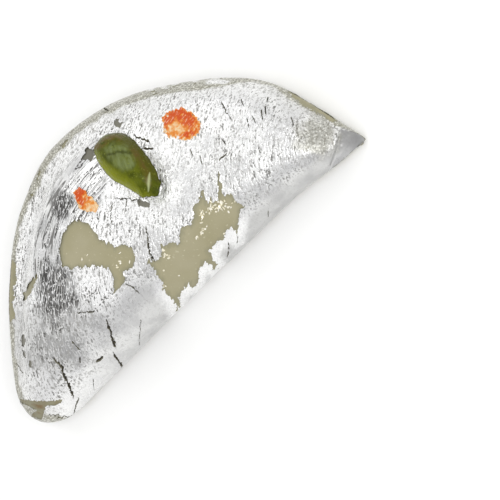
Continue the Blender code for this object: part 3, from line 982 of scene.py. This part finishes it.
class GUJIYA_OT_dough(bpy.types.Operator):
    """Make the cashew dough with its fine surface, drawn up to the kernel"""
    bl_idname = "gujiya.dough"
    bl_label = "Cashew dough"

    def execute(self, context):
        settings = context.scene.gujiya.dough
        points, faces = even_mesh(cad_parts["gujiya"], settings.spacing / MM)
        sharp_end = ramp(points[:, 0], 35.5, 38.5)
        kernel = kernel_surface()
        by_kernel = ramp(kernel_distance(points, kernel), 2.2, 0.5)
        # The voxels' steps are smoothed away, but little at the sharp end and round the kernel.
        points = relaxed(points, faces, 0.5 * (1.0 - 0.9 * np.maximum(sharp_end, by_kernel)), rounds=24)
        points = self.pinched(points, normals_of(points, faces))
        normals = normals_of(points, faces)
        lumps = noise_of(points, 6.0, 1) + 0.5 * noise_of(points, 2.4, 2)
        above = ramp(points[:, 2], 0.1, 1.2)
        sink = settings.inset / MM + settings.unevenness / MM * 0.5 * (1.0 + lumps)
        points = points - normals * (sink * above)[:, None]
        points = hugged(points, kernel, pull=2.0, reach=4.0)
        points = raised_lip(points, normals_of(points, faces), kernel)
        points = hugged(points, kernel, pull=0.5, reach=1.2)
        points, faces, shaded_cleft, opened = self.shaded_cleft(points, faces)
        points[:, 2] = np.maximum(points[:, 2], 0.0)
        # A darker brown patch round the blunt end's bare place, on the surfaces that face the camera.
        dark_brown_patch = 0.9 * ramp(outline_distance(pixels_of(points), BARE_PLACES["blunt_end"][1]), 6.0, -1.0)
        dark_brown_patch *= ramp(toward_camera(normals_of(points, faces)), 0.0, 0.2)
        columns = {"dark_brown_patch": dark_brown_patch, "shaded_cleft": shaded_cleft, **self.grease_and_shade(points, faces), "opened": opened}
        piece = mesh_piece("cashew_dough", points, faces, cashew_dough_material(), columns)
        hand_over(piece, "cashew_dough", "gujiya")
        return {"FINISHED"}

    @staticmethod
    def pinched(points, normals):
        """The sharp end pressed flat between finger and thumb, on the plane through its facet's corners."""
        px = pixels_of(points)
        facing = toward_camera(normals)
        corners = [np.argmin(np.linalg.norm(px - np.array(corner), axis=1) + FAR * (facing < 0.1))
                   for corner in FACET_CORNERS]
        a, b, c = points[corners]
        across = np.cross(b - a, c - a)
        across /= np.linalg.norm(across)
        sight = np.array(camera_place()) - points
        sight /= np.linalg.norm(sight, axis=1, keepdims=True)
        away = ((a - points) @ across) / (sight @ across)
        share = ramp(outline_distance(px, SHARP_FACET), 1.0, -1.5) * ramp(facing, 0.0, 0.15)
        return points + sight * (np.clip(away, -1.6, 0.6) * share)[:, None]

    @staticmethod
    def grease_and_shade(points, faces):
        """Grease and painted shade at the foot of the leaf along each tear, and painted shade in the small
        bare places.
        """
        rows = rows_of(points, faces)
        px, push = torn_pixels(rows)
        seen = toward_camera(rows["normal"]) > EDGE_ON
        gap = bare_gap(px, push, seen)
        # Grease and painted shade on the dough just inside each tear, where the leaf's edge stands over it.
        grease_and_edge_shade = 0.75 * ramp(gap + 0.25 * noise_of(points, 1.2, 25), -0.75, -0.1)
        # Painted shade in the small bare places.
        small = [ramp(outline_distance(px, BARE_PLACES[name][1]), 3.0, 1.0) for name in SHADED_SMALL_PLACES]
        return {"grease_and_edge_shade": grease_and_edge_shade, "small_place_shade": np.max(small, axis=0) * seen}

    @staticmethod
    def shaded_cleft(points, faces):
        """The dough split open under each crack of the leaf: points, triangles, how much painted shade each
        point gets in the split, and how far it was moved."""
        rows = rows_of(points, faces)
        for last in (False, False, True):
            px, push = torn_pixels(rows)
            rows["edge"] = crack_gap(px, push, toward_camera(rows["normal"]) > EDGE_ON)
            if not last:
                rows, faces = halved(rows, faces, reach=0.8)
        opened = rows["normal"] * (CLEFT_DEPTH * ramp(rows["edge"], 0.06, -0.08))[:, None]
        # The third value is the painted shade in each opened crack.
        return rows["place"] - opened, faces, ramp(rows["edge"], 0.03, -0.04), opened


def dough_rows():
    """The dough's surface as it was before its clefts opened, without the underside."""
    mesh = need("cashew_dough").data
    points, faces = arrays_of(mesh)
    opened = np.empty(len(points) * 3)
    mesh.attributes["opened"].data.foreach_get("vector", opened)
    points = points + opened.reshape(-1, 3)
    rows = rows_of(points, faces)
    shown = (rows["normal"][faces, 2].min(axis=1) > -0.97) | (points[faces, 2].min(axis=1) > 0.3)
    return only(rows, faces[shown])


def highest_of(px, height):
    """The greatest height found along the picture, in steps across it."""
    slot = np.round(px[:, 0] / TRACE_STEP)
    return zip(*[(place * TRACE_STEP, height[slot == place].max()) for place in np.unique(slot)])


def rim_wear(rows):
    """1 on the wall of the curved rim and on its edge, where hands rubbed the leaf thin, and 0 elsewhere."""
    place = rows["place"]
    facing = toward_camera(rows["normal"])
    px = np.column_stack([pixels_of(place), np.zeros(len(place))])
    rim = (seam_gap(rows) > 1.5) & (kernel_distance(place, kernel_surface()) > 2.5)
    # The brink is the rim's edge against the background, as the photograph shows it.
    brink = np.flatnonzero(rim & (np.abs(facing) < 0.06) & (place[:, 2] > 0.5))
    tree = search_tree(brink, px[brink])
    gap = np.full(len(place), FAR)
    front = rim & (facing > 0.0)
    gap[front] = [tree.find(spot)[2] for spot in px[front].tolist()]
    highest = np.interp(px[:, 0], *highest_of(px[brink], place[brink, 2]))
    # Behind the brink the leaf is rubbed only at the top of the wall.
    drop = highest - place[:, 2] - 0.4 + 0.8 * noise_of(place, 3.0, 33)
    gap = np.where(rim & ~front, 5.0 * np.maximum(drop, 0.0), gap)
    width = np.interp(px[:, 0], *zip(*RIM_WEAR)) + 2.0 * noise_of(place, 1.8, 18)
    soft = np.where(front, 1.5, 4.0)
    wear = np.maximum(ramp(gap - width, soft, -soft), 0.1 * ramp(gap - width, 10.0, 2.0))
    return wear * (1.0 - spotted(px[:, :2], place, WHOLE_PLACES))


def torn_pixels(rows):
    """Pixels of the surface, and the push to each that makes a straight outline come out ragged and spiky."""
    px = pixels_of(rows["place"])
    flat = np.column_stack([px, rows["place"][:, 2] * PX_PER_MM])
    aside = noise_of(flat, (7.0, 16.0, 12.0), 5) + 0.6 * noise_of(flat, (2.6, 6.0, 5.0), 6)
    along = 1.4 * noise_of(flat, (5.0, 18.0, 12.0), 7) + 2.2 * noise_of(flat, (2.2, 9.0, 7.0), 8)
    along += 1.1 * noise_of(flat, (1.3, 3.0, 3.0), 9)
    aside += 1.1 * noise_of(flat, (3.0, 1.3, 3.0), 10)
    return px, np.column_stack([aside, along])


def bare_gap(px, push, seen):
    """Distance to the nearest bare place's tear, negative inside it."""
    gaps = [np.where(seen, outline_distance(px + ragged * push, outline) / PX_PER_MM, FAR)
            for ragged, outline in BARE_PLACES.values()]
    return np.min(gaps, axis=0)


def crack_gap(px, push, seen):
    """Distance to the nearest crack's side, negative inside the crack."""
    gaps = []
    for width, line in CRACKS.values():
        length = sum(math.dist(a, b) for a, b in zip(line, line[1:]))
        gap, share = line_distance(px + min(1.1, length / 25.0) * push, line)
        half = width / 2 * np.clip(8.0 * np.minimum(share, 1.0 - share) + 0.15, 0.0, 1.0)
        gaps.append(np.where(seen, gap / PX_PER_MM - half, FAR))
    return np.min(gaps, axis=0)


def leaf_edge(rows):
    """Distance to the nearest torn edge, positive where there is leaf. It also notes how worn the leaf is."""
    place, normal = rows["place"], rows["normal"]
    px, push = torn_pixels(rows)
    seen = toward_camera(normal) > EDGE_ON
    # On the walls the leaf ends raggedly, 0.5 to 1.2 mm above the underside.
    foot = place[:, 2] - 0.5 - 0.35 * (1.0 + noise_of(place, 1.5, 9))
    rows["worn"] = rim_wear(rows)
    spots = noise_of(place, (1.3, 1.3, 0.9), 10) + 0.5 * noise_of(place, 0.5, 11)
    return np.min([
        bare_gap(px, push, seen),
        crack_gap(px, push, seen),
        kernel_distance(place, kernel_surface()) - 0.09,
        np.where(normal[:, 2] < 0.2, foot, FAR),
        spots + 1.6 - 1.1 * rows["worn"]], axis=0)


def seam_gap(rows):
    """How far a point lies on the lid's side of the line where the leaf of the fold begins."""
    x, y = rows["place"][:, 0], rows["place"][:, 1]
    seam = np.array(LEAF_SEAM)
    wobble = 0.35 * noise_of(rows["place"], 2.2, 12) + 0.15 * noise_of(rows["place"], 0.7, 13)
    return y - np.interp(x, seam[:, 0], seam[:, 1]) + wobble


def rim_gap(rows):
    """How far a point lies on the lid's side of the line where the rim's leaf begins."""
    return 3.0 * (rows["normal"][:, 2] - 0.45) + 0.3 * noise_of(rows["place"], 1.6, 14)


def relief_of(rows, settings):
    """How far the leaf belongs to the fold, the pinched facet and the creased place, how crisp it is, and how
    high it stands off the dough."""
    place, normal = rows["place"], rows["normal"]
    px = pixels_of(place)
    lid = ramp(normal[:, 2], 0.55, 0.85)
    creased = lid * ramp(outline_distance(px, CREASED_PLACE) + 2.0 * noise_of(place, 1.5, 28), 5.0, -5.0)
    sharp_end = ramp(outline_distance(px, SHARP_FACET), 1.5, -1.5)
    fold = ramp(seam_gap(rows), 1.5, -0.5)
    blunt = ramp(place[:, 0], -26.0, -33.0)
    left = ramp(px[:, 0], 150.0, 85.0)
    calm = ramp(outline_distance(px, CALM_PLACE), 10.0, -10.0)
    # The leaf is crispest at the lid's left, and smooth on the fold, at both ends and in the calm place.
    crisp = (1.0 + 0.6 * left * ramp(normal[:, 2], 0.2, 0.6)
             - 0.85 * fold - 0.7 * blunt - 0.8 * sharp_end - 0.45 * calm)
    crisp = np.clip(crisp, 0.12, 1.6)
    ridge = 1.0 - np.abs(noise_of(place, 1.6, 20) + 0.4 * noise_of(place, 0.8, 21))
    fan = 1.0 - np.abs(noise_of(rim_places(px), (0.9, 5.0, 1.0), 22))
    height = settings.crease / MM * crisp * (0.45 * ridge + 1.1 * creased * fan**2)
    return fold, sharp_end, creased, crisp, height


def spotted(px, place, spots):
    """How strongly each point lies in the nearest of some oval spots with uneven edges."""
    most = np.zeros(len(px))
    for centre, size, strength in spots:
        away = np.linalg.norm((px - np.array(centre)) / np.array(size), axis=1)
        most = np.maximum(most, strength * ramp(away + 0.5 * noise_of(place, 1.6, 24), 1.3, 0.6))
    return most


def leaf_piece(name, rows, faces, side, lift, settings):
    """One sheet: the dough's surface cut to the leaf's own edge, creased, lifted and closed into a film."""
    def edge_of(found):
        return np.minimum(leaf_edge(found), side(found))

    rows["edge"] = edge_of(rows)
    rows, faces = halved(rows, faces, reach=0.9)
    rows["edge"] = edge_of(rows)
    rows, faces = clipped(rows, faces)
    place, normal, edge = rows["place"], rows["normal"], rows["edge"]
    px = pixels_of(place)
    fold, sharp_end, creased, crisp, height = relief_of(rows, settings)
    from_bare = bare_gap(*torn_pixels(rows), True)
    curl = settings.curl / MM * np.exp(-edge / 0.35) * ramp(noise_of(place, 2.5, 23), 0.0, 0.6) * crisp
    curl *= ramp(-from_bare, -1.0, -0.4)
    outer = place + normal * (lift + height + curl)[:, None]
    inner = outer - normal * (settings.thickness / MM)
    points, closed = closed_film(outer, inner, faces)
    # Painted shade on the fold, slight at its left and deeper to the right, but not by the torn edges along
    # its bare place.
    fold_shade = np.interp(px[:, 0], (90.0, 140.0, 200.0, 290.0), (0.05, 0.22, 0.36, 0.30))
    torn = ramp(from_bare, 2.2, 0.6)
    dull_shade = np.maximum(spotted(px, place, DULL_SHADE_PLACES), fold * fold_shade * (1.0 - torn))
    # Painted shade on the pinched facet, deepest at its upper part.
    dull_shade = np.maximum(dull_shade, (0.12 + 0.45 * ramp(px[:, 1], 164.0, 140.0)) * sharp_end)
    # Painted light on the lid's left, the top of the rim, those torn edges and the foot of the blunt end.
    painted_light = np.max([
        ramp(px[:, 0], 150.0, 85.0) * ramp(px[:, 1], 325.0, 290.0),
        0.7 * ramp(px[:, 1], 135.0, 105.0) * ramp(px[:, 0], 290.0, 230.0),
        0.6 * fold * torn,
        0.5 * ramp(px[:, 1], 360.0, 385.0)], axis=0)
    worn = np.maximum(rows["worn"], spotted(px, place, RUBBED_PLACES))
    columns = {
        "worn": worn, "crisp": crisp, "creased": creased, "dull_shade": dull_shade, "painted_light": painted_light,
        "along_rim": rim_places(px)}
    columns = {label: np.concatenate([values, values]) for label, values in columns.items()}
    piece = mesh_piece(name, points, closed, silver_leaf_material(), columns, SHARP_EDGE)
    hand_over(piece, "silver_leaf")


def rim_places(px):
    """Places in from the rim and along it, in millimetres."""
    out = px - np.array(RIM_MIDDLE)
    far = np.linalg.norm(out, axis=1) / PX_PER_MM
    return np.column_stack([far, np.arctan2(out[:, 1], -out[:, 0]) * RIM_RADIUS, np.zeros(len(px))])


class GUJIYA_OT_leaf(bpy.types.Operator):
    """Lay the beaten silver leaf: a sheet on the fold, one on the rim, one on the lid, and the torn edge that
    laps over the kernel's foot"""
    bl_idname = "gujiya.leaf"
    bl_label = "Silver leaf"

    def execute(self, context):
        settings = context.scene.gujiya.leaf
        rows, faces = dough_rows()
        sheets = {
            "silver_leaf_fold": (
                FOLD_LIFT, lambda found: SHEET_OVERLAP - seam_gap(found)),
            "silver_leaf_rim": (
                RIM_LIFT, lambda found: np.minimum(seam_gap(found), SHEET_OVERLAP - rim_gap(found))),
            "silver_leaf_lid": (
                LID_LIFT, lambda found: np.minimum(seam_gap(found), rim_gap(found)))}
        for name, (lift, side) in sheets.items():
            leaf_piece(name, dict(rows), faces, side, lift, settings)
        self.lap(settings)
        return {"FINISHED"}

    @staticmethod
    def lap(settings):
        """The leaf's torn edge, lapping over the foot of the kernel."""
        points, faces = kernel_surface()
        rows = rows_of(points, faces)
        dough = BVHTree.FromPolygons(*(part.tolist() for part in arrays_of(need("cashew_dough").data)))
        rows["gap"] = np.array([dough.find_nearest(place)[3] for place in points.tolist()])

        def edge_of(found):
            tear = noise_of(found["place"], 1.3, 26) + 0.7 * noise_of(found["place"], 0.5, 27)
            foot = near_line(pixels_of(found["place"]), KERNEL_FOOT, 5.0)
            teeth = noise_of(found["place"], 0.35, 34)
            return 0.12 - found["gap"] + 0.22 * tear + foot * (0.4 + 0.6 * tear + 0.5 * teeth)

        upper = rows["normal"][:, 2] > -0.05
        rows, faces = only(rows, faces[upper[faces].all(axis=1)])
        for _ in range(2):
            rows["edge"] = edge_of(rows)
            rows, faces = halved(rows, faces, reach=0.9, least=0.1)
        rows["edge"] = edge_of(rows)
        rows, faces = clipped(rows, faces)
        lift = KERNEL_LAP_LIFT + 0.05 * ramp(rows["edge"], 0.3, 0.0)
        outer = rows["place"] + rows["normal"] * lift[:, None]
        inner = outer - rows["normal"] * (settings.thickness / MM)
        points, closed = closed_film(outer, inner, faces)
        plain = np.zeros(len(points))
        columns = {"worn": plain, "crisp": plain + 0.8, "creased": plain, "dull_shade": plain, "painted_light": plain}
        piece = mesh_piece("silver_leaf_lap", points, closed, silver_leaf_material(), columns, SHARP_EDGE)
        hand_over(piece, "silver_leaf")


class GUJIYA_OT_saffron(bpy.types.Operator):
    """Dab saffron on the leaf"""
    bl_idname = "gujiya.saffron"
    bl_label = "Saffron dabs"

    def execute(self, context):
        rows, faces = dough_rows()
        material = saffron_material()
        seen = toward_camera(rows["normal"]) > 0.3
        dabs = {
            "saffron_dab_large": (LARGE_DAB, LARGE_DAB_PALE, 1.1),
            "saffron_dab_small": (SMALL_DAB, SMALL_DAB_PALE, 0.5)}
        for name, (outline, pale, ragged) in dabs.items():
            near = seen & (outline_distance(pixels_of(rows["place"]), outline) < 6.0)
            part, kept = only(rows, faces[near[faces].all(axis=1)])
            for _ in range(3):
                part["edge"] = self.edge_of(part, outline, ragged)
                part, kept = halved(part, kept, reach=1.0, least=0.09)
            part["edge"] = self.edge_of(part, outline, ragged)
            part, kept = clipped(part, kept)
            px = pixels_of(part["place"])
            # The saffron pooled at the upper side, and is thin in one pale place and along its edge.
            thin = np.exp(-((np.linalg.norm(px - np.array(pale), axis=1) / 7.0) ** 2))
            high = np.clip((np.array(outline).mean(axis=0) - px)[:, 1] / 15.0, -1.0, 1.0)
            deep = 0.8 + 0.2 * high - 0.75 * thin + 0.5 * noise_of(part["place"], 1.0, 32)
            deep = np.clip(deep - 0.6 * ramp(part["edge"], 0.28, 0.0), 0.0, 1.0)
            height = relief_of(part, context.scene.gujiya.leaf)[4]
            # The film follows the leaf under it and thins a little towards its edge.
            lift = SAFFRON_LIFT + height + 0.05 * ramp(part["edge"], 0.0, 0.3)
            outer = part["place"] + part["normal"] * lift[:, None]
            inner = outer - part["normal"] * SAFFRON_THICKNESS
            points, closed = closed_film(outer, inner, kept)
            piece = mesh_piece(name, points, closed, material, {"deep": np.tile(deep, 2)}, SHARP_EDGE)
            hand_over(piece, "saffron")
        return {"FINISHED"}

    @staticmethod
    def edge_of(rows, outline, ragged):
        """Distance to the dab's edge or to a hole in it, positive where there is saffron."""
        px, push = torn_pixels(rows)
        gap = -outline_distance(px + ragged * push, outline) / PX_PER_MM
        holes = noise_of(rows["place"], 0.55, 30) + 0.6 * noise_of(rows["place"], 0.28, 31)
        return np.minimum(gap, 0.3 * (holes + 0.40 + 0.5 * ramp(gap, 0.1, 0.6)))


def fleck_tree():
    """Geometry nodes that strew flat torn crumbs over a surface, thickest where its weight is greatest."""
    tree = bpy.data.node_groups.new("strewn_flecks", "GeometryNodeTree")
    for name, kind in (("Surface", "Geometry"), ("Density", "Float"), ("Size", "Float"), ("Seed", "Int")):
        tree.interface.new_socket(name, in_out="INPUT", socket_type="NodeSocket" + kind)
    tree.interface.new_socket("Flecks", in_out="OUTPUT", socket_type="NodeSocketGeometry")
    given = add_node(tree, "NodeGroupInput", output=None)
    weight = add_node(
        tree, "GeometryNodeInputNamedAttribute", {"Name": "strewn"}, "Attribute", data_type="FLOAT")
    density = share_of(tree, weight, given["Density"])
    spots = add_node(tree, "GeometryNodeDistributePointsOnFaces", {
        "Mesh": given["Surface"], "Density": density, "Seed": given["Seed"]}, None)
    crumb = add_node(tree, "GeometryNodeMeshCylinder", {"Vertices": 5, "Radius": 0.5, "Depth": 0.2}, "Mesh")
    spin, shape = (
        add_node(tree, "FunctionNodeRandomValue", {0: low, 1: high, "Seed": given["Seed"]},
                 data_type="FLOAT_VECTOR")
        for low, high in (((-0.3, -0.3, -3.1), (0.3, 0.3, 3.1)), ((0.6, 0.3, 0.7), (1.6, 0.9, 1.3))))
    way = add_node(tree, "FunctionNodeRotateRotation", {
        "Rotation": spots["Rotation"], "Rotate By": spin}, rotation_space="LOCAL")
    scale = add_node(tree, "ShaderNodeVectorMath", {
        "Vector": shape, "Scale": given["Size"]}, operation="SCALE")
    laid = add_node(tree, "GeometryNodeInstanceOnPoints", {
        "Points": spots["Points"], "Instance": crumb, "Rotation": way, "Scale": scale})
    real = add_node(tree, "GeometryNodeRealizeInstances", {"Geometry": laid})
    coloured = add_node(tree, "GeometryNodeSetMaterial", {
        "Geometry": real, "Material": loose_leaf_material()})
    add_node(tree, "NodeGroupOutput", {"Flecks": coloured}, None)
    return tree


class GUJIYA_OT_flecks(bpy.types.Operator):
    """Strew flecks of torn leaf over the two large bare places"""
    bl_idname = "gujiya.flecks"
    bl_label = "Leaf flecks"

    def execute(self, context):
        settings = context.scene.gujiya.flecks
        rows, faces = dough_rows()
        px, push = torn_pixels(rows)
        seen = toward_camera(rows["normal"]) > 0.1
        bare = ramp(bare_gap(px, push, seen), -0.05, -0.2) * (outline_distance(px, FLECKED_PLACE) < 0.0)
        rows["strewn"] = np.full(len(px), 0.003)
        for x, y, radius in CRUMBS:
            away = np.linalg.norm(px - np.array((x, y)), axis=1)
            rows["strewn"] += np.exp(-((away / (CRUMB_SPREAD * radius)) ** 2))
        rows["strewn"] *= bare
        rows, faces = only(rows, faces[(rows["strewn"][faces] > 0.002).all(axis=1)])
        ground = mesh_piece("fleck_ground", rows["place"] + 0.02 * rows["normal"], faces, None,
                            {"strewn": rows["strewn"]})
        strewn = ground.modifiers.new("flecks", "NODES")
        strewn.node_group = fleck_tree()
        values = {"Density": settings.density, "Size": settings.size, "Seed": settings.seed}
        for item in strewn.node_group.interface.items_tree:
            if item.name in values:
                strewn[item.identifier] = values[item.name]
        made = bpy.data.meshes.new_from_object(ground.evaluated_get(context.evaluated_depsgraph_get()))
        bpy.data.objects.remove(ground)
        if not made.polygons:
            raise RuntimeError("no flecks were strewn")
        made.materials.pop(index=0)     # the cylinder's own slot, which is empty
        made.name = "silver_leaf_flecks"
        piece = bpy.data.objects.new("silver_leaf_flecks", made)
        context.scene.collection.objects.link(piece)
        hand_over(piece, "silver_leaf")
        return {"FINISHED"}


class GUJIYA_OT_stage(bpy.types.Operator):
    """Make the floor, the light and the camera"""
    bl_idname = "gujiya.stage"
    bl_label = "Stage"

    def execute(self, context):
        scene = context.scene
        settings = scene.gujiya.stage
        half = settings.floor_size / 2
        mesh = bpy.data.meshes.new("floor")
        corners = ((-half, -half), (half, -half), (half, half), (-half, half))
        mesh.from_pydata([(x, y, -FLOOR_GAP * MM) for x, y in corners], [], [(0, 1, 2, 3)])
        material = bpy.data.materials.new("painted_board")
        tree = new_tree(material)
        shader = add_node(tree, "ShaderNodeBsdfPrincipled", {
            "Base Color": tuple(settings.floor_colour), "Roughness": 0.9})
        add_node(tree, "ShaderNodeOutputMaterial", {"Surface": shader}, None)
        mesh.materials.append(material)
        floor = bpy.data.objects.new("floor", mesh)
        scene.collection.objects.link(floor)
        self.add_sky(scene)
        right, up, back = camera_axes()
        lean = Vector((right.x, right.y, 0.0)).normalized()
        key_way = (-0.54 * lean + 0.45 * up + Vector((0.0, 0.0, 0.75))).normalized()
        self.add_light(scene, "key", key_way, KEY_DISTANCE, KEY_SIZE, settings.key_power)
        fill_way = (0.75 * lean + Vector((0.0, 0.0, 0.66))).normalized()
        self.add_light(scene, "fill", fill_way, FILL_DISTANCE, FILL_SIZE, settings.fill_power)
        camera = bpy.data.objects.new("camera", bpy.data.cameras.new("camera"))
        camera.data.sensor_width = SENSOR
        camera.data.lens = FOCAL_PX * SENSOR / FRAME_PX
        camera.data.clip_start = 0.01
        camera.matrix_world = placed(right, up, back, camera_place() * MM)
        scene.collection.objects.link(camera)
        scene.camera = camera
        scene.view_settings.view_transform = "Standard"
        return {"FINISHED"}

    @staticmethod
    def add_sky(scene):
        """A pale tent, brightest over the curved rim and the blunt end."""
        world = bpy.data.worlds.new("tent")
        tree = new_tree(world)
        way = add_node(tree, "ShaderNodeTexCoord", output="Generated")
        lit = add_node(tree, "ShaderNodeVectorMath", {0: way, 1: SKY_AXIS}, "Value", operation="DOT_PRODUCT")
        shade = add_node(tree, "ShaderNodeValToRGB", {"Fac": share_of(tree, (lit, -1.0, 1.0))})
        stops = shade.node.color_ramp.elements
        stops[0].position, stops[0].color = 0.35, (0.74, 0.74, 0.75, 1.0)
        stops[1].position, stops[1].color = 0.97, (0.66, 0.66, 0.66, 1.0)
        for place in (0.62, 0.85):
            stops.new(place).color = (0.98, 0.98, 0.98, 1.0)
        add_node(tree, "ShaderNodeOutputWorld", {
            "Surface": add_node(tree, "ShaderNodeBackground", {"Color": shade})}, None)
        scene.world = world

    @staticmethod
    def add_light(scene, name, way, distance, size, power):
        """A square soft light that looks at the gujiya from that way."""
        data = bpy.data.lights.new(name, "AREA")
        data.size = size
        data.energy = power
        lamp = bpy.data.objects.new(name, data)
        side = way.orthogonal().normalized()
        lamp.matrix_world = placed(side, way.cross(side), way, way * distance)
        scene.collection.objects.link(lamp)


def placed(x, y, z, place):
    """The matrix of an object with these axes at that place."""
    made = Matrix.Identity(4)
    for k, axis in enumerate((x, y, z, place)):
        made.col[k][:3] = axis
    return made


class GUJIYA_PT_panel(bpy.types.Panel):
    """Sizes and pieces of the gujiya"""
    bl_label = "Cashew gujiya"
    bl_idname = "GUJIYA_PT_panel"
    bl_space_type = "VIEW_3D"
    bl_region_type = "UI"
    bl_category = "Gujiya"

    def draw(self, context):
        settings = context.scene.gujiya
        for part in type(settings).__annotations__:
            group = getattr(settings, part)
            box = self.layout.box()
            for name in type(group).__annotations__:
                box.prop(group, name)
        for operator in PIECES:
            self.layout.operator(operator.bl_idname)


PIECES = (GUJIYA_OT_pistachio, GUJIYA_OT_dough, GUJIYA_OT_leaf, GUJIYA_OT_flecks, GUJIYA_OT_saffron,
          GUJIYA_OT_stage)
CLASSES = (
    DoughSettings, KernelSettings, LeafSettings, SaffronSettings, FleckSettings, StageSettings,
    GujiyaSettings, *PIECES, GUJIYA_PT_panel)


def register():
    for kind in CLASSES:
        bpy.utils.register_class(kind)
    bpy.types.Scene.gujiya = PointerProperty(type=GujiyaSettings)


def unregister():
    del bpy.types.Scene.gujiya
    for kind in reversed(CLASSES):
        bpy.utils.unregister_class(kind)


def main():
    register()
    bpy.ops.gujiya.pistachio()
    bpy.ops.gujiya.dough()
    bpy.ops.gujiya.leaf()
    bpy.ops.gujiya.flecks()
    bpy.ops.gujiya.saffron()
    bpy.ops.gujiya.stage()


if __name__ == "__main__":
    main()
